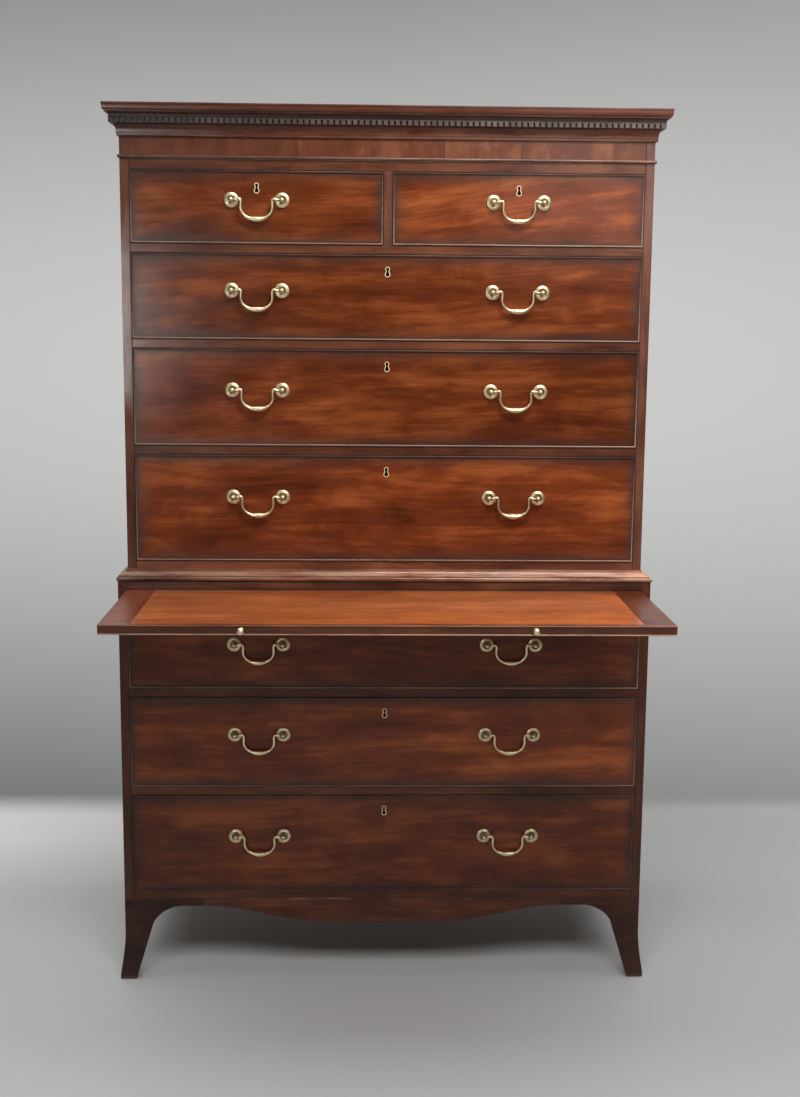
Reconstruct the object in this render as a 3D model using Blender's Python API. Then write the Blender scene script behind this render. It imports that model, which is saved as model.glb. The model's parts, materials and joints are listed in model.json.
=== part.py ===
"""Mahogany chest on chest of about 1780, all lengths in metres.

X runs to the right, Y to the back and Z up. The origin is on the floor,
under the middle of the piece as it stands with its slide drawn out.
"""

import math

import bmesh
import bpy
from mathutils import Matrix
from mathutils import Vector

# Carcases
LOWER_WIDTH = 1.080
LOWER_DEPTH = 0.545
UPPER_SETBACK = 0.018
SIDE_THICKNESS = 0.018
RAIL_HEIGHT = 0.0175
RAIL_DEPTH = 0.050
DIVIDER_THICKNESS = 0.018
HOUSING_DEPTH = 0.006
HOUSING_START = 0.040
RUNNER_WIDTH = 0.034
DUSTBOARD_THICKNESS = 0.008
BACK_THICKNESS = 0.010
BACK_REBATE = 0.009
BACK_BOARD_WIDTH = 0.210
BACK_JOINT_WIDTH = 0.003
FIT_GAP = 0.0003
CUT_OVERRUN = 0.002

# Heights, from the floor up
FOOT_HEIGHT = 0.174
LOWER_BOTTOM_THICKNESS = 0.0175
LOWER_BOTTOM_OPENING = 0.208
LOWER_MIDDLE_OPENING = 0.191
LOWER_TOP_OPENING = 0.1695
SLIDE_OPENING = 0.0195
FASCIA_HEIGHT = 0.0155
UPPER_PLINTH = 0.0220
UPPER_BOTTOM_THICKNESS = 0.0177
UPPER_BOTTOM_OPENING = 0.216
UPPER_MIDDLE_OPENING = 0.193
UPPER_TOP_OPENING = 0.168
SHORT_OPENING = 0.141
TOP_RAIL_HEIGHT = 0.020
ASTRAGAL_HEIGHT = 0.007
FRIEZE_HEIGHT = 0.034
CORNICE_HEIGHT = 0.061
CORNICE_LIP = 0.012

# Mouldings
CORNICE_PROJECTION = 0.029
DENTIL_PITCH = 0.01175
DENTIL_GAP = 0.0044
ASTRAGAL_PROJECTION = 0.004
FRIEZE_THICKNESS = 0.020
WAIST_HEIGHT = 0.0235
WAIST_NOSE = 0.0025
CURVE_STEPS = 5

# Feet and apron
BRACKET_THICKNESS = 0.019
FOOT_WING = 0.165
BACK_FOOT_WING = 0.110
BRACKET_CROWN = 0.016
ARCH_START = 0.125
BACK_ARCH_START = 0.095
ARCH_REACH = 0.071
BACK_ARCH_REACH = 0.048
ARCH_DROP = 0.060
ARCH_END_ANGLE = math.radians(18)
TOE_WIDTH = 0.0225
SPLAY = 0.0135
SPLAY_HEIGHT = 0.100
SPLAY_POWER = 1.6
GLUE_BLOCK = 0.030
APRON_DIP = 0.0385
APRON_STEPS = 10

# Brushing slide
SLIDE_PULL = 0.344
SLIDE_DEPTH = 0.500
SLIDE_THICKNESS = 0.0185
SLIDE_SIDE_GAP = 0.001
SLIDE_CLAMP_WIDTH = 0.057
SLIDE_LIP_DEPTH = 0.014
SLIDE_BEAD = 0.0028
KNOB_OFFSET = 0.265
KNOB_RADIUS = 0.0068
KNOB_PROJECTION = 0.0165
KNOB_SEGMENTS = 10

# Drawers
DRAWER_GAP = 0.0008
DRAWER_BACK_ROOM = 0.010
FRONT_THICKNESS = 0.020
FRONT_LAP = 0.005
COCKBEAD_WIDTH = 0.003
COCKBEAD_PROJECTION = 0.0022
COCKBEAD_ROUND = 0.0012
DRAWER_SIDE = 0.0095
DRAWER_SIDE_DROP = 0.003
DRAWER_BACK = 0.009
DRAWER_BACK_DROP = 0.008
DRAWER_BOTTOM = 0.007
DRAWER_BOTTOM_LIFT = 0.009
GROOVE_DEPTH = 0.005
TAIL_PITCH = 0.050
PIN_NARROW = 0.004
PIN_WIDE = 0.009
STOP_WIDTH = 0.045
STOP_DEPTH = 0.018
STOP_HEIGHT = 0.006

# Locks and keyholes
KEYHOLE_DROP = 0.034
KEYHOLE_HEIGHT = 0.0205
ESCUTCHEON_TOP_RADIUS = 0.0046
ESCUTCHEON_FOOT_RADIUS = 0.0055
ESCUTCHEON_PROUD = 0.0005
ESCUTCHEON_RIM = 0.0017
KEYHOLE_WAIST = 0.0019
KEYHOLE_DEPTH = 0.012
HEAD_SWEEP = math.radians(260)
FOOT_SWEEP = math.radians(220)
LOCK_WIDTH = 0.072
LOCK_HEIGHT = 0.050
LOCK_PROUD = 0.003

# Swan-neck bails and rosettes
BAIL_OFFSET = 0.2575
BAIL_SPACING = 0.099
BAIL_DROP = 0.037
BAIL_STANDOFF = 0.0115
BAIL_NECK_RADIUS = 0.0024
BAIL_GRIP_RADIUS = 0.0055
BAIL_PIN_RADIUS = 0.0016
PIN_HOLE_RADIUS = 0.0027
PIN_HOLE_SIDES = 4
PIN_LENGTH = 0.0035
ROSETTE_RADIUS = 0.0147
ROSETTE_HEIGHT = 0.0036
ROSETTE_SEGMENTS = 8
POST_HEAD_RADIUS = 0.0046

# Each point: share of the half spacing, share of the drop, share of the grip's swelling
BAIL_PATH_SHARES = (
    (0.720, 0.045, 0.0),
    (0.612, -0.100, 0.0),
    (0.640, -0.400, 0.0),
    (0.645, -0.640, 0.0),
    (0.480, -0.880, 0.0),
    (0.230, -0.985, 0.35),
)
# Share of the rosette's radius and share of its height, from the rim to the foot of the post
ROSETTE_SHARES = ((0.93, 0.80), (0.64, 1.0), (0.20, 0.15))
# Shares of the post head's radius: out from the post's axis, and forward from the hinge line
POST_HEAD_SHARES = ((0.56, -0.90), (1.0, -0.10), (0.62, 0.80))
# Share of the knob's radius and share of its length, from its flange to its neck
KNOB_STEM_SHARES = ((0.80, 0.0), (0.80, 0.10), (0.42, 0.18), (0.42, 0.34))
KNOB_HEAD_SHARE = 0.78
# Shares of each drawer's opening, from its foot up to the bail posts
SHORT_BAIL_SHARE = 0.597
UPPER_TOP_BAIL_SHARE = 0.570
UPPER_MIDDLE_BAIL_SHARE = 0.575
UPPER_BOTTOM_BAIL_SHARE = 0.604
LOWER_TOP_BAIL_SHARE = 0.549
LOWER_MIDDLE_BAIL_SHARE = 0.585
LOWER_BOTTOM_BAIL_SHARE = 0.574

# Shares of the cornice's projection and height, from the carcase out and up
CORNICE_BEAD_SHARES = ((0.04, 0.0), (0.145, 0.045), (0.145, 0.080))
CORNICE_COVE_SHARES = ((0.165, 0.10), (0.43, 0.39))
DENTIL_FOOT_SHARES = (0.43, 0.405)
DENTIL_TOP_SHARES = (0.59, 0.575)
CORNICE_NECK_SHARES = ((0.59, 0.61), (0.825, 0.705))
CORNICE_FILLET_SHARES = ((0.825, 0.745), (0.88, 0.745))
CORNICE_OVOLO_SHARES = ((0.88, 0.755), (0.97, 0.925))
CORNICE_CAP_SHARES = ((0.97, 0.940), (1.0, 0.940), (1.0, 1.0))
# Shares of the waist moulding's projection and height
WAIST_NOSE_SHARES = ((0.84, 0.0), (1.0, 0.20), (0.84, 0.40))
WAIST_COVE_SHARES = ((0.79, 0.50), (0.10, 1.0))
# Shares of the apron's dip and half length
APRON_OGEE_SHARE = 0.9
APRON_OGEE_SPAN_SHARE = 0.7
# Heights of the foot's sections below its arch, as shares of the ankle's height
ANKLE_LEVEL_SHARES = (0.0, 0.14, 0.34, 0.62, 1.0)
GLUE_BLOCK_SHARE = 0.8

# Levels and widths that follow
UPPER_WIDTH = LOWER_WIDTH - 2 * UPPER_SETBACK
LOWER_INNER = LOWER_WIDTH - 2 * SIDE_THICKNESS
UPPER_INNER = UPPER_WIDTH - 2 * SIDE_THICKNESS
FRONT_Y = (SLIDE_PULL + KNOB_PROJECTION - LOWER_DEPTH) / 2
UPPER_FRONT_Y = FRONT_Y + UPPER_SETBACK
BACK_Y = FRONT_Y + LOWER_DEPTH

CROWN_HEIGHT = FOOT_HEIGHT - BRACKET_CROWN
LOWER_BOTTOM_Z = FOOT_HEIGHT + LOWER_BOTTOM_THICKNESS
LOWER_RAIL_2_Z = LOWER_BOTTOM_Z + LOWER_BOTTOM_OPENING
LOWER_MIDDLE_Z = LOWER_RAIL_2_Z + RAIL_HEIGHT
LOWER_RAIL_1_Z = LOWER_MIDDLE_Z + LOWER_MIDDLE_OPENING
LOWER_TOP_Z = LOWER_RAIL_1_Z + RAIL_HEIGHT
SLIDE_RAIL_Z = LOWER_TOP_Z + LOWER_TOP_OPENING
SLIDE_Z = SLIDE_RAIL_Z + RAIL_HEIGHT
FASCIA_Z = SLIDE_Z + SLIDE_OPENING
LOWER_CASE_TOP = FASCIA_Z + FASCIA_HEIGHT

UPPER_CASE_BOTTOM = LOWER_CASE_TOP + FIT_GAP
UPPER_BOTTOM_Z = UPPER_CASE_BOTTOM + UPPER_PLINTH + UPPER_BOTTOM_THICKNESS
UPPER_RAIL_3_Z = UPPER_BOTTOM_Z + UPPER_BOTTOM_OPENING
UPPER_MIDDLE_Z = UPPER_RAIL_3_Z + RAIL_HEIGHT
UPPER_RAIL_2_Z = UPPER_MIDDLE_Z + UPPER_MIDDLE_OPENING
UPPER_TOP_Z = UPPER_RAIL_2_Z + RAIL_HEIGHT
UPPER_RAIL_1_Z = UPPER_TOP_Z + UPPER_TOP_OPENING
SHORT_Z = UPPER_RAIL_1_Z + RAIL_HEIGHT
TOP_RAIL_Z = SHORT_Z + SHORT_OPENING
ASTRAGAL_Z = TOP_RAIL_Z + TOP_RAIL_HEIGHT
CORNICE_Z = ASTRAGAL_Z + ASTRAGAL_HEIGHT + FRIEZE_HEIGHT
TOTAL_HEIGHT = CORNICE_Z + CORNICE_HEIGHT
UPPER_CASE_TOP = TOTAL_HEIGHT - CORNICE_LIP

MERGE_DISTANCE = 0.00001
SMOOTH_ANGLE = math.radians(38)

# Base colour, roughness and metallic value of each finish
FINISHES = {
    "case_mahogany": ((0.115, 0.035, 0.018), 0.32, 0.0),
    "front_mahogany": ((0.190, 0.062, 0.025), 0.30, 0.0),
    "slide_mahogany": ((0.290, 0.085, 0.028), 0.25, 0.0),
    "deal": ((0.420, 0.270, 0.140), 0.65, 0.0),
    "oak": ((0.330, 0.210, 0.110), 0.60, 0.0),
    "brass": ((0.620, 0.470, 0.200), 0.32, 1.0),
}


# Helpers


def clear_scene():
    for old in list(bpy.data.objects):
        bpy.data.objects.remove(old, do_unlink=True)


def finish_material(name, finish):
    colour, roughness, metallic = FINISHES[finish]
    material = bpy.data.materials.new(name)
    material.use_nodes = True
    shader = material.node_tree.nodes["Principled BSDF"]
    shader.inputs["Base Color"].default_value = (*colour, 1.0)
    shader.inputs["Roughness"].default_value = roughness
    shader.inputs["Metallic"].default_value = metallic
    return material


def add_object(name, bm, finish, location=(0, 0, 0), parent=None):
    """Turn a bmesh into a named object with its own material."""
    bmesh.ops.recalc_face_normals(bm, faces=bm.faces)
    mesh = bpy.data.meshes.new(name)
    bm.to_mesh(mesh)
    bm.free()
    mesh.materials.append(finish_material(name, finish))
    obj = bpy.data.objects.new(name, mesh)
    bpy.context.scene.collection.objects.link(obj)
    obj.location = location
    obj.parent = parent
    return obj


def add_empty(name, location, parent=None):
    empty = bpy.data.objects.new(name, None)
    bpy.context.scene.collection.objects.link(empty)
    empty.location = location
    empty.parent = parent
    return empty


def combine(obj, bm, operation):
    """Cut a closed bmesh out of an object, or unite the two, in the object's own axes."""
    bmesh.ops.recalc_face_normals(bm, faces=bm.faces)
    tool_mesh = bpy.data.meshes.new(obj.name + "_tool")
    bm.to_mesh(tool_mesh)
    bm.free()
    tool = bpy.data.objects.new(obj.name + "_tool", tool_mesh)
    bpy.context.scene.collection.objects.link(tool)
    tool.location = obj.location
    tool.parent = obj.parent
    modifier = obj.modifiers.new(operation.lower(), "BOOLEAN")
    modifier.operation = operation
    modifier.object = tool
    modifier.solver = "EXACT"
    bpy.context.view_layer.update()
    graph = bpy.context.evaluated_depsgraph_get()
    result = bpy.data.meshes.new_from_object(obj.evaluated_get(graph))
    old_mesh = obj.data
    obj.modifiers.remove(modifier)
    obj.data = result
    result.name = obj.name
    bpy.data.meshes.remove(old_mesh)
    bpy.data.objects.remove(tool, do_unlink=True)
    bpy.data.meshes.remove(tool_mesh)


def cut(obj, bm):
    combine(obj, bm, "DIFFERENCE")


def unite(obj, bm):
    combine(obj, bm, "UNION")


def add_box(bm, low, high):
    """Add a box between two corners and return its new faces."""
    low = Vector(low)
    high = Vector(high)
    place = Matrix.Translation((low + high) / 2) @ Matrix.Diagonal((*(high - low), 1.0))
    new = bmesh.ops.create_cube(bm, size=1.0, matrix=place)
    return list({face for vert in new["verts"] for face in vert.link_faces})


def box_mesh(low, high):
    bm = bmesh.new()
    add_box(bm, low, high)
    return bm


def add_prism(bm, outline, direction):
    """Fill a flat outline of 3-D points and extrude it along a direction."""
    face = bm.faces.new([bm.verts.new(point) for point in outline])
    moved = bmesh.ops.extrude_face_region(bm, geom=[face], use_keep_orig=True)
    verts = [item for item in moved["geom"] if isinstance(item, bmesh.types.BMVert)]
    bmesh.ops.translate(bm, verts=verts, vec=Vector(direction))


def add_loft(bm, loops):
    """Join closed loops of equal length in order and close both ends."""
    rows = [[bm.verts.new(point) for point in loop] for loop in loops]
    count = len(rows[0])
    for row, following in zip(rows, rows[1:]):
        for index in range(count):
            after = (index + 1) % count
            bm.faces.new((row[index], row[after], following[after], following[index]))
    bm.faces.new(rows[0])
    bm.faces.new(list(reversed(rows[-1])))


def add_turning(bm, profile, segments, place):
    """Spin a profile of (radius, height) points round Z and set it in place."""
    before = set(bm.verts)
    verts = [bm.verts.new((radius, 0, height)) for radius, height in profile]
    edges = [bm.edges.new(pair) for pair in zip(verts, verts[1:])]
    bmesh.ops.spin(
        bm, geom=verts + edges, cent=(0, 0, 0), axis=(0, 0, 1), angle=2 * math.pi,
        steps=segments, use_merge=True)
    turned = [vert for vert in bm.verts if vert not in before]
    bmesh.ops.transform(bm, matrix=place, verts=turned)
    bmesh.ops.remove_doubles(bm, verts=turned, dist=MERGE_DISTANCE)


def smooth(obj):
    """Shade an object smooth except at its real edges."""
    obj.data.shade_smooth()
    obj.data.set_sharp_from_angle(angle=SMOOTH_ANGLE)


def quarter(start, end, steps, hollow):
    """Points of a quarter ellipse from start to end.

    A hollow one leaves the start upright and reaches the end level; a round one
    leaves the start level and reaches the end upright.
    """
    points = []
    for step in range(steps + 1):
        angle = math.pi / 2 * step / steps
        if hollow:
            across = 1 - math.cos(angle)
            up = math.sin(angle)
        else:
            across = math.sin(angle)
            up = 1 - math.cos(angle)
        points.append((start[0] + (end[0] - start[0]) * across, start[1] + (end[1] - start[1]) * up))
    return points


def sized(shares, width, height):
    return [(across * width, up * height) for across, up in shares]


def moulding_loop(profile, half_width, front_y, back_y, base_z, station):
    """Place a profile at one of four stations: back left, front left, front right, back right."""
    side = -1 if station < 2 else 1
    at_back = station in (0, 3)
    loop = []
    for out, up in profile:
        y = back_y if at_back else front_y - out
        loop.append(Vector((side * (half_width + out), y, base_z + up)))
    return loop


def add_moulding(bm, profile, half_width, front_y, back_y, base_z):
    """Run a profile along the left side, the front and the right side with mitred corners."""
    loops = [
        moulding_loop(profile, half_width, front_y, back_y, base_z, station)
        for station in range(4)
    ]
    add_loft(bm, loops)


# Carcase boards


def side_board(name, width, front_y, bottom_z, top_z, side, boards, tab=None, parent=None):
    """One side of a case, with a rebate for the back and a housing for each board."""
    outer_x = side * width / 2
    inner_x = side * (width / 2 - SIDE_THICKNESS)
    outline = [(front_y, bottom_z)]
    if tab:
        tab_front, tab_back, tab_z = tab
        outline += [(tab_front, bottom_z), (tab_front, tab_z), (tab_back, tab_z), (tab_back, bottom_z)]
    outline += [(BACK_Y, bottom_z), (BACK_Y, top_z), (front_y, top_z)]
    bm = bmesh.new()
    add_prism(bm, [(outer_x, y, z) for y, z in outline], (inner_x - outer_x, 0, 0))
    obj = add_object(name, bm, "case_mahogany", parent=parent)

    cutter = bmesh.new()
    rebate_x = inner_x + side * BACK_REBATE
    past_x = inner_x - side * CUT_OVERRUN
    rebate_z = (tab[2] if tab else bottom_z) - CUT_OVERRUN
    add_box(
        cutter,
        (min(rebate_x, past_x), BACK_Y - BACK_THICKNESS - FIT_GAP, rebate_z),
        (max(rebate_x, past_x), BACK_Y + CUT_OVERRUN, top_z + CUT_OVERRUN))
    cut(obj, cutter)

    housings = bmesh.new()
    housed_x = inner_x + side * HOUSING_DEPTH
    for board_z, thickness in boards:
        low_z = board_z - FIT_GAP
        high_z = board_z + thickness + FIT_GAP
        if high_z > top_z:
            high_z = top_z + CUT_OVERRUN
        add_box(
            housings,
            (min(housed_x, past_x), front_y + HOUSING_START - FIT_GAP, low_z),
            (max(housed_x, past_x), BACK_Y - BACK_THICKNESS - FIT_GAP - CUT_OVERRUN, high_z))
    cut(obj, housings)
    return obj


def housed_board(name, inner_width, front_y, low_z, thickness, finish, open_frame, stops, parent):
    """A rail or board between the sides, its back part let into their housings."""
    high_z = low_z + thickness
    half = inner_width / 2 - FIT_GAP
    housed = inner_width / 2 + HOUSING_DEPTH - FIT_GAP
    runner = inner_width / 2 - RUNNER_WIDTH
    back_y = BACK_Y - BACK_THICKNESS - FIT_GAP - CUT_OVERRUN - FIT_GAP
    start_y = front_y + HOUSING_START
    obj = add_object(
        name, box_mesh((-half, front_y, low_z), (half, front_y + RAIL_DEPTH, high_z)), finish,
        parent=parent)
    if open_frame:
        panel_low = low_z + (thickness - DUSTBOARD_THICKNESS) / 2
        panel_high = panel_low + DUSTBOARD_THICKNESS
        outline = [
            (-housed, low_z), (-runner, low_z), (-runner, panel_low), (runner, panel_low),
            (runner, low_z), (housed, low_z), (housed, high_z), (runner, high_z),
            (runner, panel_high), (-runner, panel_high), (-runner, high_z), (-housed, high_z),
        ]
    else:
        outline = [(-housed, low_z), (housed, low_z), (housed, high_z), (-housed, high_z)]
    frame = bmesh.new()
    add_prism(frame, [(x, start_y, z) for x, z in outline], (0, back_y - start_y, 0))
    unite(obj, frame)
    if stops:
        blocks = bmesh.new()
        stop_y = front_y + FRONT_THICKNESS + FIT_GAP
        for side in (-1, 1):
            middle = side * inner_width / 4
            add_box(
                blocks,
                (middle - STOP_WIDTH / 2, stop_y, high_z - STOP_HEIGHT),
                (middle + STOP_WIDTH / 2, stop_y + STOP_DEPTH, high_z + STOP_HEIGHT))
        unite(obj, blocks)
    return obj


def back_boards(name, width, bottom_z, top_z, parent):
    """Upright deal boards, nailed side by side into the rebates, with V joints."""
    half = width / 2 - SIDE_THICKNESS + BACK_REBATE - FIT_GAP
    front_y = BACK_Y - BACK_THICKNESS
    count = max(2, round(2 * half / BACK_BOARD_WIDTH))
    outline = [(-half, front_y), (half, front_y), (half, BACK_Y)]
    for joint in reversed(range(1, count)):
        x = -half + 2 * half * joint / count
        outline += [
            (x + BACK_JOINT_WIDTH / 2, BACK_Y), (x, BACK_Y - BACK_JOINT_WIDTH / 2),
            (x - BACK_JOINT_WIDTH / 2, BACK_Y),
        ]
    outline.append((-half, BACK_Y))
    bm = bmesh.new()
    add_prism(bm, [(x, y, bottom_z) for x, y in outline], (0, 0, top_z - bottom_z))
    return add_object(name, bm, "deal", parent=parent)


# Mouldings


def cornice(parent):
    """Mitred cornice: bead, cove, dentils, neck, fillet, ovolo and cap."""
    width = CORNICE_PROJECTION
    height = CORNICE_HEIGHT
    foot_out, foot_up = sized([DENTIL_FOOT_SHARES], width, height)[0]
    face_out, gap_up = sized([DENTIL_TOP_SHARES], width, height)[0]
    below = [(FIT_GAP, 0)]
    below += sized(CORNICE_BEAD_SHARES, width, height)
    cove_start, cove_end = sized(CORNICE_COVE_SHARES, width, height)
    below += quarter(cove_start, cove_end, CURVE_STEPS, True)
    above = sized(CORNICE_NECK_SHARES, width, height)
    neck_start, neck_end = above
    above = quarter(neck_start, neck_end, CURVE_STEPS - 1, True)
    above += sized(CORNICE_FILLET_SHARES, width, height)
    ovolo_start, ovolo_end = sized(CORNICE_OVOLO_SHARES, width, height)
    above += quarter(ovolo_start, ovolo_end, CURVE_STEPS, False)
    above += sized(CORNICE_CAP_SHARES, width, height)
    above.append((FIT_GAP, height))

    half = UPPER_WIDTH / 2
    bm = bmesh.new()

    def point(run, along, out, up):
        """A point of the left, front or right run, at a distance along its carcase face."""
        if run == "front":
            return Vector((along, UPPER_FRONT_Y - out, CORNICE_Z + up))
        side = -1 if run == "left" else 1
        return Vector((side * (half + out), along, CORNICE_Z + up))

    corner = {}

    def end_vert(run, end, out, up):
        """A vertex of a run's end, shared with the next run at a mitre."""
        key = (end, out, up)
        if key not in corner:
            if end == "back_left":
                place = point("left", BACK_Y, out, up)
            elif end == "back_right":
                place = point("right", BACK_Y, out, up)
            else:
                side = -1 if end == "corner_left" else 1
                place = point("front", side * (half + out), out, up)
            corner[key] = bm.verts.new(place)
        return corner[key]

    runs = (
        ("left", "back_left", "corner_left", BACK_Y, UPPER_FRONT_Y - face_out),
        ("front", "corner_left", "corner_right", -half - face_out, half + face_out),
        ("right", "corner_right", "back_right", UPPER_FRONT_Y - face_out, BACK_Y),
    )
    for run, first, last, start, stop in runs:
        count = max(2, round(abs(stop - start) / DENTIL_PITCH))
        pitch = (stop - start) / count
        half_gap = math.copysign(DENTIL_GAP / 2, pitch)
        edges = []
        for index in range(1, count):
            middle = start + pitch * index
            edges += [middle - half_gap, middle + half_gap]
        lines = {}
        for label, out, up in (
                ("face_top", face_out, gap_up), ("face_foot", face_out, foot_up),
                ("back_top", foot_out, gap_up), ("back_foot", foot_out, foot_up)):
            row = [bm.verts.new(point(run, along, out, up)) for along in edges]
            if label != "back_top":
                row = [end_vert(run, first, out, up)] + row + [end_vert(run, last, out, up)]
            lines[label] = row
        top = lines["face_top"]
        face = lines["face_foot"]
        foot = lines["back_foot"]
        roof = lines["back_top"]
        for index in range(len(top) - 1):
            if index % 2 == 0:
                bm.faces.new((top[index], top[index + 1], face[index + 1], face[index]))
                bm.faces.new((face[index], face[index + 1], foot[index + 1], foot[index]))
            else:
                bm.faces.new((top[index], top[index + 1], roof[index], roof[index - 1]))
                bm.faces.new((roof[index - 1], roof[index], foot[index + 1], foot[index]))
        for index, inner in enumerate(roof):
            bm.faces.new((top[index + 1], face[index + 1], foot[index + 1], inner))
        chain = below + [(foot_out, foot_up)]
        for (out_a, up_a), (out_b, up_b) in zip(chain, chain[1:]):
            lower = [end_vert(run, first, out_a, up_a), end_vert(run, last, out_a, up_a)]
            upper = [end_vert(run, last, out_b, up_b), end_vert(run, first, out_b, up_b)]
            if (out_b, up_b) == (foot_out, foot_up):
                upper = list(reversed(foot))
            bm.faces.new(lower + upper)
        chain = [(face_out, gap_up)] + above + [(FIT_GAP, 0)]
        for (out_a, up_a), (out_b, up_b) in zip(chain, chain[1:]):
            lower = [end_vert(run, first, out_a, up_a), end_vert(run, last, out_a, up_a)]
            upper = [end_vert(run, last, out_b, up_b), end_vert(run, first, out_b, up_b)]
            if (out_a, up_a) == (face_out, gap_up):
                lower = top
            bm.faces.new(lower + upper)
    end_profile = below + [(foot_out, foot_up), (face_out, foot_up), (face_out, gap_up)] + above
    for end in ("back_left", "back_right"):
        bm.faces.new([end_vert("", end, out, up) for out, up in end_profile])
    return add_object("cornice", bm, "case_mahogany", parent=parent)


def waist_moulding(parent):
    """Mitred moulding on the lower case: half-round nose, fillet and cove."""
    width = UPPER_SETBACK + WAIST_NOSE
    foot, nose, crest = sized(WAIST_NOSE_SHARES, width, WAIST_HEIGHT)
    cove_start, cove_end = sized(WAIST_COVE_SHARES, width, WAIST_HEIGHT)
    profile = [(FIT_GAP, 0)]
    profile += quarter(foot, nose, CURVE_STEPS - 2, False)
    profile += quarter(nose, crest, CURVE_STEPS - 2, True)[1:]
    profile.append((cove_start[0], crest[1]))
    profile += reversed(quarter(cove_end, cove_start, CURVE_STEPS, True))
    profile.append((FIT_GAP, WAIST_HEIGHT))
    bm = bmesh.new()
    add_moulding(bm, profile, UPPER_WIDTH / 2, UPPER_FRONT_Y, BACK_Y, LOWER_CASE_TOP + FIT_GAP)
    return add_object("waist_moulding", bm, "case_mahogany", parent=parent)


def frieze(parent):
    """Frieze board between the sides, with the astragal planted round its foot."""
    half = UPPER_INNER / 2 - FIT_GAP
    low_z = ASTRAGAL_Z + FIT_GAP
    board = box_mesh((-half, UPPER_FRONT_Y, low_z), (half, UPPER_FRONT_Y + FRIEZE_THICKNESS, UPPER_CASE_TOP))
    obj = add_object("frieze", board, "case_mahogany", parent=parent)
    lift = ASTRAGAL_HEIGHT - FIT_GAP
    profile = [(FIT_GAP, 0)]
    for step in range(CURVE_STEPS + 1):
        angle = math.pi * (step / CURVE_STEPS - 1 / 2)
        out = ASTRAGAL_PROJECTION - lift / 2 + lift / 2 * math.cos(angle)
        profile.append((max(out, FIT_GAP * 2), lift / 2 + lift / 2 * math.sin(angle)))
    profile.append((FIT_GAP, lift))
    bead = bmesh.new()
    add_moulding(bead, profile, UPPER_WIDTH / 2, UPPER_FRONT_Y, BACK_Y, low_z)
    tongue_z = low_z + lift / 4
    tongue = box_mesh(
        (-half + FIT_GAP, UPPER_FRONT_Y - ASTRAGAL_PROJECTION / 4, tongue_z),
        (half - FIT_GAP, UPPER_FRONT_Y + ASTRAGAL_PROJECTION, tongue_z + lift / 2))
    unite(obj, tongue)
    unite(obj, bead)
    return obj


# Feet and apron


def wing_at(height, start, reach):
    """Width of a bracket at a height, measured from the carcase's face to its curved edge."""
    ankle_z = CROWN_HEIGHT - ARCH_DROP * (1 - math.sin(ARCH_END_ANGLE))
    ankle = start - reach * math.cos(ARCH_END_ANGLE)
    if height <= ankle_z:
        return TOE_WIDTH + (ankle - TOE_WIDTH) * height / ankle_z
    rise = (height - (CROWN_HEIGHT - ARCH_DROP)) / ARCH_DROP
    return start - reach * math.sqrt(max(0, 1 - rise * rise))


def foot_levels():
    """Heights of a foot's sections, from the sole up to the crown of the arch."""
    ankle_z = CROWN_HEIGHT - ARCH_DROP * (1 - math.sin(ARCH_END_ANGLE))
    levels = [ankle_z * share for share in ANKLE_LEVEL_SHARES]
    for step in range(1, CURVE_STEPS + 2):
        angle = ARCH_END_ANGLE + (math.pi / 2 - ARCH_END_ANGLE) * step / (CURVE_STEPS + 1)
        levels.append(CROWN_HEIGHT - ARCH_DROP * (1 - math.sin(angle)))
    return levels


def foot(name, side, front, parent):
    """Splayed bracket foot: two mitred brackets on a glue block, lofted from the sole up."""
    if front:
        start, reach, wing = ARCH_START, ARCH_REACH, FOOT_WING
        face_y = FRONT_Y
        inward = 1
    else:
        start, reach, wing = BACK_ARCH_START, BACK_ARCH_REACH, BACK_FOOT_WING
        face_y = BACK_Y
        inward = -1
    sections = []
    for height in foot_levels():
        wide = wing_at(height, start, reach)
        deep = wing_at(height, ARCH_START, ARCH_REACH)
        sections.append((height, wide, deep))
    sections.append((CROWN_HEIGHT, wing, FOOT_WING))
    sections.append((FOOT_HEIGHT - FIT_GAP, wing, FOOT_WING))
    loops = []
    for height, wide, deep in sections:
        splay = SPLAY * max(0, 1 - height / SPLAY_HEIGHT) ** SPLAY_POWER
        splay_y = splay if front else 0
        spare = min(wide, deep) - BRACKET_THICKNESS
        block = min(GLUE_BLOCK, spare * GLUE_BLOCK_SHARE)
        inner = BRACKET_THICKNESS
        flat = [
            (-splay, -splay_y), (wide, -splay_y), (wide, inner), (inner + block, inner),
            (inner, inner + block), (inner, deep), (-splay, deep),
        ]
        loops.append([
            Vector((side * (LOWER_WIDTH / 2 - x), face_y + inward * y, height)) for x, y in flat
        ])
    bm = bmesh.new()
    add_loft(bm, loops)
    bmesh.ops.remove_doubles(bm, verts=bm.verts, dist=MERGE_DISTANCE)
    return add_object(name, bm, "case_mahogany", parent=parent)


def apron_edge(share):
    """Height of the apron's lower edge at a share of its half length."""
    ramp = min((1 - share) / APRON_OGEE_SPAN_SHARE, 1)
    ogee = ramp * ramp * (3 - 2 * ramp)
    dip = APRON_OGEE_SHARE * ogee + (1 - APRON_OGEE_SHARE) * (1 - share)
    return CROWN_HEIGHT - APRON_DIP * dip


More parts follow.
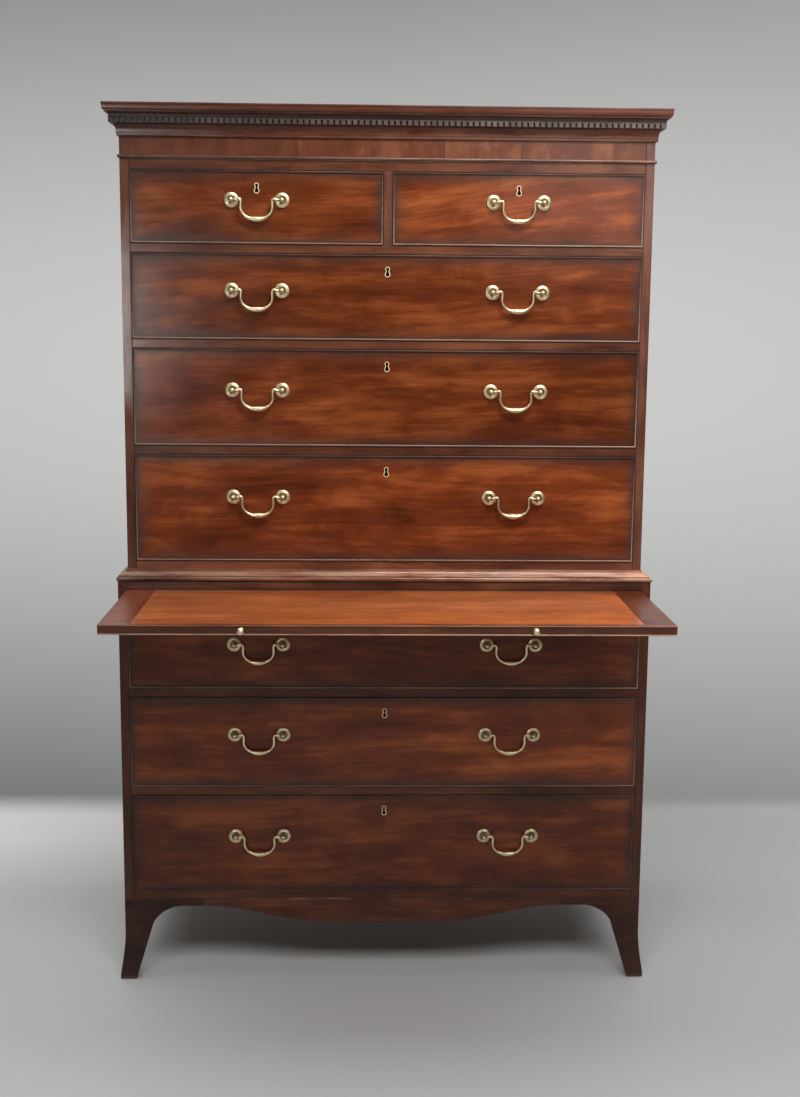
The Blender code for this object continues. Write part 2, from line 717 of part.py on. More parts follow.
def apron(parent):
    """Serpentine apron between the front feet."""
    half = LOWER_WIDTH / 2 - FOOT_WING - FIT_GAP
    top_z = FOOT_HEIGHT - FIT_GAP
    outline = [(half, top_z), (-half, top_z)]
    for step in range(-APRON_STEPS, APRON_STEPS + 1):
        share = step / APRON_STEPS
        outline.append((half * share, apron_edge(abs(share))))
    bm = bmesh.new()
    add_prism(bm, [(x, FRONT_Y, z) for x, z in outline], (0, BRACKET_THICKNESS, 0))
    return add_object("front_apron", bm, "case_mahogany", parent=parent)


# Brushing slide


def slide(parent):
    """Panel with a beaded front lip, two cross-grained clamps and two knobs."""
    half = LOWER_INNER / 2 - SLIDE_SIDE_GAP
    low_z = SLIDE_Z + FIT_GAP
    thickness = SLIDE_THICKNESS
    carrier = add_empty("brushing_slide", (0, FRONT_Y - SLIDE_PULL, low_z), parent)
    bead = SLIDE_BEAD / 2
    profile = [(SLIDE_LIP_DEPTH, 0)]
    for middle in (bead, thickness - bead):
        for step in range(CURVE_STEPS):
            angle = math.pi * (step / (CURVE_STEPS - 1) - 1 / 2)
            profile.append((bead - bead * math.cos(angle), middle + bead * math.sin(angle)))
    profile.append((SLIDE_LIP_DEPTH, thickness))
    lip = bmesh.new()
    add_prism(lip, [(-half, y, z) for y, z in profile], (2 * half, 0, 0))
    panel = add_object("slide_panel", lip, "slide_mahogany", parent=carrier)
    inner = half - SLIDE_CLAMP_WIDTH - FIT_GAP
    board = box_mesh((-inner, SLIDE_LIP_DEPTH / 2, 0), (inner, SLIDE_DEPTH, thickness))
    unite(panel, board)
    for side, label in ((-1, "left"), (1, "right")):
        edges = sorted((side * half, side * (half - SLIDE_CLAMP_WIDTH)))
        clamp = box_mesh((edges[0], SLIDE_LIP_DEPTH + FIT_GAP, 0), (edges[1], SLIDE_DEPTH, thickness))
        add_object("slide_clamp_" + label, clamp, "slide_mahogany", parent=carrier)
        add_knob("slide_knob_" + label, side * KNOB_OFFSET, bead, thickness / 2, carrier)


def add_knob(name, x, face_y, z, parent):
    """Turned brass knob: flange, waisted neck and round head."""
    length = KNOB_PROJECTION + face_y - FIT_GAP
    half_head = KNOB_RADIUS * KNOB_HEAD_SHARE
    profile = [(0, 0)]
    profile += sized(KNOB_STEM_SHARES, KNOB_RADIUS, length)
    for step in range(1, CURVE_STEPS):
        angle = math.pi * step / CURVE_STEPS
        profile.append((KNOB_RADIUS * math.sin(angle), length - half_head * (1 + math.cos(angle))))
    profile.append((0, length))
    bm = bmesh.new()
    add_turning(bm, profile, KNOB_SEGMENTS, Matrix.Rotation(math.pi / 2, 4, "X"))
    obj = add_object(name, bm, "brass", (x, face_y - FIT_GAP, z), parent)
    smooth(obj)
    return obj


# Drawers


def tails(height):
    """Spans of the dovetails up a drawer side: root low and high, tip low and high."""
    count = max(2, round(height / TAIL_PITCH))
    pitch = height / count
    spans = []
    for index in range(count):
        low = pitch * index
        high = low + pitch
        spans.append((low + PIN_WIDE / 2, high - PIN_WIDE / 2, low + PIN_NARROW / 2, high - PIN_NARROW / 2))
    return spans


def keyhole_outline(top_radius, foot_radius, height, waist):
    """Round head over a flared round foot, joined by a waist."""
    head_z = height / 2 - top_radius
    foot_z = -height / 2 + foot_radius
    points = []
    for step in range(CURVE_STEPS):
        angle = math.pi / 2 + HEAD_SWEEP * (step / (CURVE_STEPS - 1) - 1 / 2)
        points.append((top_radius * math.cos(angle), head_z + top_radius * math.sin(angle)))
    points.append((-waist, (head_z + foot_z) / 2))
    for step in range(CURVE_STEPS - 1):
        angle = -math.pi / 2 + FOOT_SWEEP * (step / (CURVE_STEPS - 2) - 1 / 2)
        points.append((foot_radius * math.cos(angle), foot_z + foot_radius * math.sin(angle)))
    points.append((waist, (head_z + foot_z) / 2))
    return points


def add_rosette(bm, x, z):
    """Turned rosette with a dished face, its post and the post's round head."""
    profile = [(0, -CUT_OVERRUN), (ROSETTE_RADIUS, -CUT_OVERRUN)]
    profile += sized(ROSETTE_SHARES, ROSETTE_RADIUS, ROSETTE_HEIGHT)
    head = sized(POST_HEAD_SHARES, POST_HEAD_RADIUS, POST_HEAD_RADIUS)
    profile += [(out, BAIL_STANDOFF + forward) for out, forward in head]
    profile.append((0, BAIL_STANDOFF + POST_HEAD_RADIUS))
    turn = Matrix.Translation((x, 0, z)) @ Matrix.Rotation(math.pi / 2, 4, "X")
    add_turning(bm, profile, ROSETTE_SEGMENTS, turn)


def add_pin_hole(bm, x, z, inward):
    """Cutter for the hole in a post's head that holds the bail's turned-in end."""
    reach = POST_HEAD_RADIUS * 2
    depth = POST_HEAD_RADIUS - PIN_LENGTH - FIT_GAP
    profile = [(0, depth), (PIN_HOLE_RADIUS, depth), (PIN_HOLE_RADIUS, reach), (0, reach)]
    turn = Matrix.Translation((x, -BAIL_STANDOFF, z)) @ Matrix.Rotation(inward * math.pi / 2, 4, "Y")
    add_turning(bm, profile, PIN_HOLE_SIDES, turn)


def drawer_front(name, width, height, side_low, side_high, bail_xs, bail_z, parent):
    """Cockbeaded front with lapped dovetail sockets, keyhole, lock and bail posts."""
    half = width / 2
    bm = bmesh.new()
    faces = add_box(bm, (-half, 0, 0), (half, FRONT_THICKNESS, height))
    bm.normal_update()
    front = [face for face in faces if face.normal.y < -1 / 2]
    ring = bmesh.ops.inset_region(bm, faces=front, thickness=COCKBEAD_WIDTH, use_even_offset=True)
    raised = bmesh.ops.extrude_face_region(bm, geom=ring["faces"])
    crest = [item for item in raised["geom"] if isinstance(item, bmesh.types.BMVert)]
    bmesh.ops.translate(bm, verts=crest, vec=(0, -COCKBEAD_PROJECTION, 0))
    bmesh.ops.delete(bm, geom=ring["faces"], context="FACES")
    edges = [edge for edge in bm.edges if all(vert in crest for vert in edge.verts)]
    edges = [edge for edge in edges if abs(edge.calc_face_angle(0)) > SMOOTH_ANGLE]
    bmesh.ops.bevel(
        bm, geom=edges, offset=COCKBEAD_ROUND, offset_type="OFFSET", segments=1, affect="EDGES")
    obj = add_object(name, bm, "front_mahogany", parent=parent)

    key_z = height + DRAWER_GAP - KEYHOLE_DROP
    added = bmesh.new()
    posts = [(x - BAIL_SPACING / 2, 1) for x in bail_xs] + [(x + BAIL_SPACING / 2, -1) for x in bail_xs]
    for x, inward in posts:
        add_rosette(added, x, bail_z)
    escutcheon = keyhole_outline(
        ESCUTCHEON_TOP_RADIUS, ESCUTCHEON_FOOT_RADIUS, KEYHOLE_HEIGHT, KEYHOLE_WAIST + ESCUTCHEON_RIM)
    add_prism(
        added, [(x, -ESCUTCHEON_PROUD, key_z + z) for x, z in escutcheon], (0, CUT_OVERRUN, 0))
    add_box(
        added, (-LOCK_WIDTH / 2, FRONT_THICKNESS - CUT_OVERRUN, height - CUT_OVERRUN - LOCK_HEIGHT),
        (LOCK_WIDTH / 2, FRONT_THICKNESS + LOCK_PROUD, height - CUT_OVERRUN))
    unite(obj, added)

    cutter = bmesh.new()
    for x, inward in posts:
        add_pin_hole(cutter, x, bail_z, inward)
    hole = keyhole_outline(
        ESCUTCHEON_TOP_RADIUS - ESCUTCHEON_RIM, ESCUTCHEON_FOOT_RADIUS - ESCUTCHEON_RIM,
        KEYHOLE_HEIGHT - 2 * ESCUTCHEON_RIM, KEYHOLE_WAIST)
    add_prism(
        cutter, [(x, -CUT_OVERRUN, key_z + z) for x, z in hole], (0, KEYHOLE_DEPTH + CUT_OVERRUN, 0))
    tip_y = FRONT_LAP
    root_y = FRONT_THICKNESS
    past_y = root_y + CUT_OVERRUN
    for side in (-1, 1):
        inner_x = side * (half - FIT_GAP - DRAWER_SIDE - FIT_GAP)
        outer_x = side * (half + CUT_OVERRUN)
        for root_low, root_high, tip_low, tip_high in tails(side_high - side_low):
            outline = [
                (past_y, side_low + root_low - FIT_GAP), (root_y, side_low + root_low - FIT_GAP),
                (tip_y, side_low + tip_low - FIT_GAP), (tip_y, side_low + tip_high + FIT_GAP),
                (root_y, side_low + root_high + FIT_GAP), (past_y, side_low + root_high + FIT_GAP),
            ]
            add_prism(cutter, [(inner_x, y, z) for y, z in outline], (outer_x - inner_x, 0, 0))
    cut(obj, cutter)
    inner = half - FIT_GAP - DRAWER_SIDE + FIT_GAP
    groove_z = side_low + DRAWER_BOTTOM_LIFT - FIT_GAP
    groove = box_mesh(
        (-inner, root_y - GROOVE_DEPTH - FIT_GAP, groove_z),
        (inner, past_y, groove_z + DRAWER_BOTTOM + 2 * FIT_GAP))
    cut(obj, groove)
    smooth(obj)
    return obj


def drawer_box(name, width, side_low, side_high, depth, parent):
    """Dovetailed sides with the bottom and back that join them."""
    outer = width / 2 - FIT_GAP
    inner = outer - DRAWER_SIDE
    root_y = FRONT_THICKNESS + FIT_GAP
    tip_y = FRONT_LAP + FIT_GAP
    outline = [(depth, side_low), (root_y, side_low)]
    for root_low, root_high, tip_low, tip_high in tails(side_high - side_low):
        outline += [
            (root_y, side_low + root_low), (tip_y, side_low + tip_low),
            (tip_y, side_low + tip_high), (root_y, side_low + root_high),
        ]
    outline += [(root_y, side_high), (depth, side_high)]
    left = bmesh.new()
    add_prism(left, [(-outer, y, z) for y, z in outline], (DRAWER_SIDE, 0, 0))
    obj = add_object(name, left, "oak", parent=parent)
    bottom_z = side_low + DRAWER_BOTTOM_LIFT
    lap = DRAWER_SIDE / 2
    bottom = box_mesh(
        (-inner - lap, root_y, bottom_z), (inner + lap, depth - lap, bottom_z + DRAWER_BOTTOM))
    unite(obj, bottom)
    tongue = box_mesh(
        (-inner, root_y - GROOVE_DEPTH, bottom_z), (inner, root_y + lap, bottom_z + DRAWER_BOTTOM))
    unite(obj, tongue)
    back = box_mesh(
        (-inner - lap, depth - lap - DRAWER_BACK, bottom_z + DRAWER_BOTTOM / 2),
        (inner + lap, depth - lap, side_high - DRAWER_BACK_DROP))
    unite(obj, back)
    right = bmesh.new()
    add_prism(right, [(inner, y, z) for y, z in outline], (DRAWER_SIDE, 0, 0))
    unite(obj, right)
    return obj


def bail(name, x, z, parent):
    """Swan-neck bail as a round bar of varying radius, its origin on the hinge line."""
    half = BAIL_SPACING / 2
    end_x = half - POST_HEAD_RADIUS + PIN_LENGTH
    neck_x = half - POST_HEAD_RADIUS
    swell = BAIL_GRIP_RADIUS - BAIL_NECK_RADIUS
    side_points = [(end_x, 0, BAIL_PIN_RADIUS), (neck_x - FIT_GAP, 0, BAIL_PIN_RADIUS)]
    for across, up, swelling in BAIL_PATH_SHARES:
        side_points.append((half * across, BAIL_DROP * up, BAIL_NECK_RADIUS + swell * swelling))
    points = [(-across, up, radius) for across, up, radius in side_points]
    points.append((0, -BAIL_DROP, BAIL_GRIP_RADIUS))
    points += reversed(side_points)
    data = bpy.data.curves.new(name, "CURVE")
    data.dimensions = "3D"
    data.bevel_depth = 1.0
    data.bevel_resolution = 1
    data.use_fill_caps = True
    spline = data.splines.new("POLY")
    spline.points.add(len(points) - 1)
    for target, (across, up, radius) in zip(spline.points, points):
        target.co = (across, 0, up, 1)
        target.radius = radius
    data.materials.append(finish_material(name, "brass"))
    obj = bpy.data.objects.new(name, data)
    bpy.context.scene.collection.objects.link(obj)
    obj.location = (x, -BAIL_STANDOFF, z)
    obj.parent = parent
    return obj


def drawer(label, x, front_y, low_z, opening_width, opening_height, bail_share, bails, parent):
    """A drawer on its own carrier: front, box and bails."""
    carrier = add_empty("drawer_" + label, (x, front_y, low_z), parent)
    width = opening_width - 2 * DRAWER_GAP
    height = opening_height - 2 * DRAWER_GAP
    lifted = add_empty("drawer_front_place_" + label, (0, 0, DRAWER_GAP), carrier)
    side_low = FIT_GAP - DRAWER_GAP
    side_high = opening_height - DRAWER_SIDE_DROP - DRAWER_GAP
    bail_z = opening_height * bail_share - DRAWER_GAP
    depth = BACK_Y - front_y - BACK_THICKNESS - DRAWER_BACK_ROOM
    bail_xs = [bail_x for bail_x, bail_label in bails]
    drawer_front("drawer_front_" + label, width, height, side_low, side_high, bail_xs, bail_z, lifted)
    drawer_box("drawer_box_" + label, width, side_low, side_high, depth, lifted)
    for bail_x, bail_label in bails:
        bail("bail_" + bail_label, bail_x, bail_z, lifted)


# Cases


def lower_chest():
    """Lower case on its feet, with the slide and three long drawers."""
    root = add_empty("lower_chest", (0, 0, 0))
    boards = [
        (FOOT_HEIGHT, LOWER_BOTTOM_THICKNESS), (LOWER_RAIL_2_Z, RAIL_HEIGHT),
        (LOWER_RAIL_1_Z, RAIL_HEIGHT), (SLIDE_RAIL_Z, RAIL_HEIGHT), (FASCIA_Z, FASCIA_HEIGHT),
    ]
    tab = (FRONT_Y + FOOT_WING + FIT_GAP, BACK_Y - FOOT_WING - FIT_GAP, CROWN_HEIGHT)
    for side, label in ((-1, "left"), (1, "right")):
        side_board(
            "lower_side_" + label, LOWER_WIDTH, FRONT_Y, FOOT_HEIGHT, LOWER_CASE_TOP, side, boards,
            tab, root)
        foot("foot_front_" + label, side, True, root)
        foot("foot_back_" + label, side, False, root)
    housed_board(
        "lower_bottom_board", LOWER_INNER, FRONT_Y, FOOT_HEIGHT, LOWER_BOTTOM_THICKNESS,
        "case_mahogany", False, True, root)
    housed_board(
        "lower_rail_2", LOWER_INNER, FRONT_Y, LOWER_RAIL_2_Z, RAIL_HEIGHT, "case_mahogany",
        True, True, root)
    housed_board(
        "lower_rail_1", LOWER_INNER, FRONT_Y, LOWER_RAIL_1_Z, RAIL_HEIGHT, "case_mahogany",
        True, True, root)
    housed_board(
        "slide_rail", LOWER_INNER, FRONT_Y, SLIDE_RAIL_Z, RAIL_HEIGHT, "case_mahogany",
        True, False, root)
    housed_board(
        "lower_top_board", LOWER_INNER, FRONT_Y, FASCIA_Z, FASCIA_HEIGHT, "case_mahogany",
        False, False, root)
    back_boards("lower_back_boards", LOWER_WIDTH, FOOT_HEIGHT, LOWER_CASE_TOP, root)
    apron(root)
    waist_moulding(root)
    slide(root)
    long_drawers = (
        ("lower_top", LOWER_TOP_Z, LOWER_TOP_OPENING, LOWER_TOP_BAIL_SHARE),
        ("lower_middle", LOWER_MIDDLE_Z, LOWER_MIDDLE_OPENING, LOWER_MIDDLE_BAIL_SHARE),
        ("lower_bottom", LOWER_BOTTOM_Z, LOWER_BOTTOM_OPENING, LOWER_BOTTOM_BAIL_SHARE),
    )
    for label, low_z, height, share in long_drawers:
        bails = [(-BAIL_OFFSET, label + "_left"), (BAIL_OFFSET, label + "_right")]
        drawer(label, 0, FRONT_Y, low_z, LOWER_INNER, height, share, bails, root)


def upper_chest():
    """Upper case with its frieze and cornice, two short drawers and three long ones."""
    root = add_empty("upper_chest", (0, 0, 0))
    boards = [
        (UPPER_CASE_BOTTOM + UPPER_PLINTH, UPPER_BOTTOM_THICKNESS), (UPPER_RAIL_3_Z, RAIL_HEIGHT),
        (UPPER_RAIL_2_Z, RAIL_HEIGHT), (UPPER_RAIL_1_Z, RAIL_HEIGHT), (TOP_RAIL_Z, TOP_RAIL_HEIGHT),
    ]
    for side, label in ((-1, "left"), (1, "right")):
        side_board(
            "upper_side_" + label, UPPER_WIDTH, UPPER_FRONT_Y, UPPER_CASE_BOTTOM, UPPER_CASE_TOP,
            side, boards, None, root)
    bottom = housed_board(
        "upper_bottom_board", UPPER_INNER, UPPER_FRONT_Y, UPPER_CASE_BOTTOM + UPPER_PLINTH,
        UPPER_BOTTOM_THICKNESS, "case_mahogany", False, True, root)
    half = UPPER_INNER / 2 - FIT_GAP
    plinth = box_mesh(
        (-half, UPPER_FRONT_Y, UPPER_CASE_BOTTOM),
        (half, UPPER_FRONT_Y + FRIEZE_THICKNESS, UPPER_BOTTOM_Z - UPPER_BOTTOM_THICKNESS / 2))
    unite(bottom, plinth)
    rails = (
        ("upper_rail_3", UPPER_RAIL_3_Z), ("upper_rail_2", UPPER_RAIL_2_Z), ("upper_rail_1", UPPER_RAIL_1_Z),
    )
    for name, low_z in rails:
        housed_board(
            name, UPPER_INNER, UPPER_FRONT_Y, low_z, RAIL_HEIGHT, "case_mahogany", True, True, root)
    housed_board(
        "upper_top_board", UPPER_INNER, UPPER_FRONT_Y, TOP_RAIL_Z, TOP_RAIL_HEIGHT, "case_mahogany",
        False, False, root)
    divider = box_mesh(
        (-DIVIDER_THICKNESS / 2, UPPER_FRONT_Y, SHORT_Z + FIT_GAP),
        (DIVIDER_THICKNESS / 2, BACK_Y - BACK_THICKNESS - DRAWER_BACK_ROOM, TOP_RAIL_Z - FIT_GAP))
    add_object("drawer_divider", divider, "case_mahogany", parent=root)
    back_boards("upper_back_boards", UPPER_WIDTH, UPPER_CASE_BOTTOM, UPPER_CASE_TOP, root)
    frieze(root)
    cornice(root)
    long_drawers = (
        ("upper_top", UPPER_TOP_Z, UPPER_TOP_OPENING, UPPER_TOP_BAIL_SHARE),
        ("upper_middle", UPPER_MIDDLE_Z, UPPER_MIDDLE_OPENING, UPPER_MIDDLE_BAIL_SHARE),
        ("upper_bottom", UPPER_BOTTOM_Z, UPPER_BOTTOM_OPENING, UPPER_BOTTOM_BAIL_SHARE),
    )
    for label, low_z, height, share in long_drawers:
        bails = [(-BAIL_OFFSET, label + "_left"), (BAIL_OFFSET, label + "_right")]
        drawer(label, 0, UPPER_FRONT_Y, low_z, UPPER_INNER, height, share, bails, root)
    short_width = (UPPER_INNER - DIVIDER_THICKNESS) / 2
    for side, label in ((-1, "short_left"), (1, "short_right")):
        x = side * (DIVIDER_THICKNESS + short_width) / 2
        drawer(
            label, x, UPPER_FRONT_Y, SHORT_Z, short_width, SHORT_OPENING, SHORT_BAIL_SHARE,
            [(0, label)], root)


clear_scene()
lower_chest()
upper_chest()
bpy.context.view_layer.update()
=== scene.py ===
import json
import math

import bmesh
import bpy
from mathutils import Matrix, Vector

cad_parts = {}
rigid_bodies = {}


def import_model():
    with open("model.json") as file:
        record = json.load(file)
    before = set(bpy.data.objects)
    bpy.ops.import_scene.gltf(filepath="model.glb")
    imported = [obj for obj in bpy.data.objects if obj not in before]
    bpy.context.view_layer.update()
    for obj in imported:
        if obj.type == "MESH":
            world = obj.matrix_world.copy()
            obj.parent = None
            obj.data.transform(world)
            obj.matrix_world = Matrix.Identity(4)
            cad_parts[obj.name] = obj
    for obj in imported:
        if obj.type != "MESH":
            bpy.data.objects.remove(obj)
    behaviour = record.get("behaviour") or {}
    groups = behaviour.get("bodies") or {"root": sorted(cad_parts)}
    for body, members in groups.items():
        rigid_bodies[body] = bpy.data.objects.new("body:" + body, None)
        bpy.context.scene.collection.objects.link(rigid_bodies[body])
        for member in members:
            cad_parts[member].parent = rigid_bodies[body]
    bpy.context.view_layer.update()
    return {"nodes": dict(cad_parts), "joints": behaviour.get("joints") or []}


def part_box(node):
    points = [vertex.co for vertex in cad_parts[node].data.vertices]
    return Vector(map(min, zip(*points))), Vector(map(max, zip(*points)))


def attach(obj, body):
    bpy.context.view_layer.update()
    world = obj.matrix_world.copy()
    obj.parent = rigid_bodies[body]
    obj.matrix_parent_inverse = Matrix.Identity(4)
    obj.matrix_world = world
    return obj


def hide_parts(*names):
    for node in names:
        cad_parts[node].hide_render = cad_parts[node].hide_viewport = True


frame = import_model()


# THE VIEW
# The photograph was taken from three metres off, a little above the middle of the chest.
# The camera's place and angles were fitted to the corners of the two cases and the slide.
EYE = Vector((-0.0559, -2.974, 1.375))
LOOK_RIGHT = math.radians(1.68)
LOOK_DOWN = math.radians(9.03)
LEAN = math.radians(0.50)
LENS = 47.45
FILM_WIDTH = 36

ahead = Vector((
    math.sin(LOOK_RIGHT) * math.cos(LOOK_DOWN),
    math.cos(LOOK_RIGHT) * math.cos(LOOK_DOWN),
    -math.sin(LOOK_DOWN)))
level = Vector((math.cos(LOOK_RIGHT), -math.sin(LOOK_RIGHT), 0))
right = math.cos(LEAN) * level + math.sin(LEAN) * level.cross(ahead)
upward = right.cross(ahead)
camera = bpy.data.objects.new("camera", bpy.data.cameras.new("camera"))
camera.data.lens = LENS
camera.data.sensor_width = FILM_WIDTH
camera.matrix_world = (
    Matrix.Translation(EYE) @ Matrix((right, upward, -ahead)).transposed().to_4x4())
bpy.context.scene.collection.objects.link(camera)
bpy.context.scene.camera = camera


# THE ROOM
# A pale floor meets a plain grey wall close behind the chest. On the wall a wide pool of light
# is painted as a glow, which the camera and reflections see in place of lamplight there, and
# the floor beside the wall is painted with a pale stripe of light. Four soft lamps light the
# chest alone and two the room alone, so that each keeps its own tone. From behind the wall
# is clear, to show the chest.
WALL_Y = 0.95
ROOM_HALF = 7.0
COVE_RADIUS = 0.05
COVE_STEPS = 10
ROOM_GREY = (0.605, 0.605, 0.603)
ROOM_ROUGHNESS = 0.55
# The pale stripe of painted light on the floor beside the wall, stronger to the left: where it fades in,
# and how it fades across
PAINTED_STRIPE_GREY = (0.86, 0.86, 0.85)
PAINTED_STRIPE = (0.30, 0.85)
PAINTED_STRIPE_MIDDLE = 0.55
PAINTED_STRIPE_FALL = 0.6
# The painted pool of light on the wall, a glow: its grey, its middle across and up, its reach across and
# up, and how it widens to the right
PAINTED_POOL_GREY = (0.600, 0.600, 0.592)
PAINTED_POOL_CENTRE = (0.2, 1.25)
PAINTED_POOL_REACH = (4.7, 1.16)
PAINTED_POOL_WIDENING = 0.22
DAYLIGHT = (0.97, 0.98, 1.0, 1.0)
DAYLIGHT_STRENGTH = 0.05


def verts_in(items):
    """The vertices among the parts of a mesh that an operator gives back."""
    return [item for item in items if isinstance(item, bmesh.types.BMVert)]


bm = bmesh.new()
near = bm.verts.new((-ROOM_HALF, -ROOM_HALF, 0))
far = bm.verts.new((-ROOM_HALF, WALL_Y - COVE_RADIUS, 0))
bm.edges.new((near, far))
cove = bmesh.ops.spin(
    bm, geom=[far], cent=far.co + Vector((0, 0, COVE_RADIUS)), axis=(1, 0, 0),
    angle=math.pi / 2, steps=COVE_STEPS)
rise = bmesh.ops.extrude_vert_indiv(bm, verts=verts_in(cove["geom_last"]))
bmesh.ops.translate(bm, verts=rise["verts"], vec=(0, 0, ROOM_HALF))
strip = bmesh.ops.extrude_edge_only(bm, edges=list(bm.edges))
bmesh.ops.translate(bm, verts=verts_in(strip["geom"]), vec=(2 * ROOM_HALF, 0, 0))
bm.normal_update()
floor_face = min(bm.faces, key=lambda face: face.calc_center_median().z)
if floor_face.normal.z < 0:
    bmesh.ops.reverse_faces(bm, faces=list(bm.faces))
mesh = bpy.data.meshes.new("room")
bm.to_mesh(mesh)
bm.free()
mesh.shade_smooth()
room = bpy.data.objects.new("room", mesh)
bpy.context.scene.collection.objects.link(room)


class Finish:
    """A finish while it is mixed: shader nodes under short names, joined as they are added."""

    def __init__(self, name):
        self.material = bpy.data.materials.new(name)
        self.material.use_nodes = True
        self.nodes = self.material.node_tree.nodes
        self.links = self.material.node_tree.links
        self.surface = self.nodes["Principled BSDF"]
        spot = self.nodes.new("ShaderNodeTexCoord")
        self.place = spot.outputs["Object"]
        self.facing = spot.outputs["Normal"]

    def fill(self, node, values):
        """Give a node its inputs, each as a plain value or as a link from another node."""
        for key, value in values.items():
            socket = node.inputs[key]
            if isinstance(value, bpy.types.NodeSocket):
                self.links.new(value, socket)
            elif socket.type == "RGBA":
                socket.default_value = (*value[:3], 1.0)
            else:
                socket.default_value = value

    def add(self, kind, values, output=0, **settings):
        """Add a node with its inputs and settings, and give back one of its outputs."""
        node = self.nodes.new("ShaderNode" + kind)
        for key, value in settings.items():
            setattr(node, key, value)
        self.fill(node, values)
        return node.outputs[output]

    def parts(self, vector):
        """The three coordinates of a place or a direction."""
        return self.add("SeparateXYZ", {0: vector}).node.outputs

    def math(self, operation, first, second=0.0):
        return self.add("Math", {0: first, 1: second}, operation=operation)

    def plus(self, first, second):
        return self.math("ADD", first, second)

    def times(self, first, second):
        return self.math("MULTIPLY", first, second)

    def spread(self, value, low, high, first=0.0, last=1.0):
        """Carry a value from one span over to another, and stop it at the ends."""
        return self.add("MapRange", {
            "Value": value, "From Min": low, "From Max": high, "To Min": first, "To Max": last})

    def stretch(self, place, scale, turn=(0, 0, 0)):
        return self.add("Mapping", {"Vector": place, "Scale": scale, "Rotation": turn})

    def clouds(self, place, scale, detail=2.0, roughness=0.5, distortion=0.0, output=0):
        """Noise that is drawn out by a scale in each direction."""
        return self.add("TexNoise", {
            "Vector": self.stretch(place, scale), "Scale": 1.0, "Detail": detail,
            "Roughness": roughness, "Distortion": distortion}, output)

    def wandering(self, place, scale, detail, reach):
        """The place moved about a little, as a grain wanders."""
        drift = self.clouds(place, scale, detail, output="Color")
        return self.add("VectorMath", {0: drift, 1: reach, 2: place}, operation="MULTIPLY_ADD")

    def mix(self, share, first, second):
        return self.add("Mix", {0: share, 6: first, 7: second}, 2, data_type="RGBA")

    def shade(self, colour, share):
        """A colour made lighter or darker by a share."""
        return self.add("VectorMath", {0: colour, 3: share}, operation="SCALE")

    def marked(self, name):
        """What mark stored on the piece under a name, or 0 where nothing was stored."""
        return self.add("Attribute", {}, "Fac", attribute_name=name)

    def grained(self, direction):
        """The place with the length of the grain laid on its first coordinate.

        Along a run, the grain follows each face, X or Y, by the way the face looks.
        """
        x, y, z = self.parts(self.place)
        if direction != "run":
            order = {"X": (x, y, z), "Y": (y, x, z), "Z": (z, y, x)}[direction]
            return self.add("CombineXYZ", dict(enumerate(order)))
        across, deep = [self.math("ABSOLUTE", part) for part in self.parts(self.facing)[:2]]
        sideways = self.math("GREATER_THAN", across, deep)
        swapped = self.add("CombineXYZ", {0: y, 1: x, 2: z})
        return self.add("Mix", {0: sideways, 4: self.place, 5: swapped}, 1, data_type="VECTOR")

    def done(self, colour, roughness, height=None, depth=0.0003, strength=0.5, **fixed):
        """Lay the colour, the shine and the fine relief on the surface."""
        self.fill(self.surface, {"Base Color": colour, "Roughness": roughness})
        self.fill(self.surface, {key.replace("_", " "): value for key, value in fixed.items()})
        if height is not None:
            normal = self.add("Bump", {"Height": height, "Distance": depth, "Strength": strength})
            self.links.new(normal, self.surface.inputs["Normal"])
        return self.material


paint = Finish("room paint")
x, y, z = paint.parts(paint.place)
# The floor's paint, with a painted pale stripe of light towards the wall, stronger to the left.
near_wall = paint.add(
    "MapRange", {"Value": y, "From Min": PAINTED_STRIPE[0], "From Max": PAINTED_STRIPE[1]},
    interpolation_type="SMOOTHSTEP")
left_share = paint.math("SUBTRACT", PAINTED_STRIPE_MIDDLE, paint.times(x, PAINTED_STRIPE_FALL))
ground_with_painted_stripe = paint.mix(paint.times(near_wall, left_share), ROOM_GREY, PAINTED_STRIPE_GREY)
mesh.materials.append(paint.done(ground_with_painted_stripe, ROOM_ROUGHNESS))
# The painted pool of light on the wall: a glow that the camera and glossy reflections see above the
# floor, in place of the lit paint.
across = paint.math("DIVIDE", paint.math("SUBTRACT", x, PAINTED_POOL_CENTRE[0]), PAINTED_POOL_REACH[0])
widening = paint.times(paint.math("MAXIMUM", x), PAINTED_POOL_WIDENING)
height = paint.math(
    "DIVIDE", paint.math("SUBTRACT", z, PAINTED_POOL_CENTRE[1]), paint.plus(PAINTED_POOL_REACH[1], widening))
distance = paint.plus(paint.times(across, across), paint.times(height, height))
painted_pool = paint.add("Emission", {
    "Color": PAINTED_POOL_GREY, "Strength": paint.math("EXPONENT", paint.times(distance, -1.0))})
rays = paint.add("LightPath", {}).node.outputs
looked_at = paint.math("MAXIMUM", rays["Is Camera Ray"], paint.math(
    "MAXIMUM", rays["Is Glossy Ray"], rays["Is Transmission Ray"]))
above_floor = paint.math("MINIMUM", paint.math("DIVIDE", z, COVE_RADIUS), 1.0)
paint_with_painted_pool = paint.add("MixShader", {
    0: paint.times(looked_at, above_floor), 1: paint.surface.outputs[0], 2: painted_pool})
either = paint.add("MixShader", {
    0: paint.add("NewGeometry", {}, "Backfacing"), 1: paint_with_painted_pool, 2: paint.add("BsdfTransparent", {})})
paint.links.new(either, paint.nodes["Material Output"].inputs["Surface"])

room_alone = bpy.data.collections.new("room alone")
room_alone.objects.link(room)
chest_alone = bpy.data.collections.new("all but the room")
chest_alone.objects.link(room)
chest_alone.collection_objects[0].light_linking.link_state = "EXCLUDE"

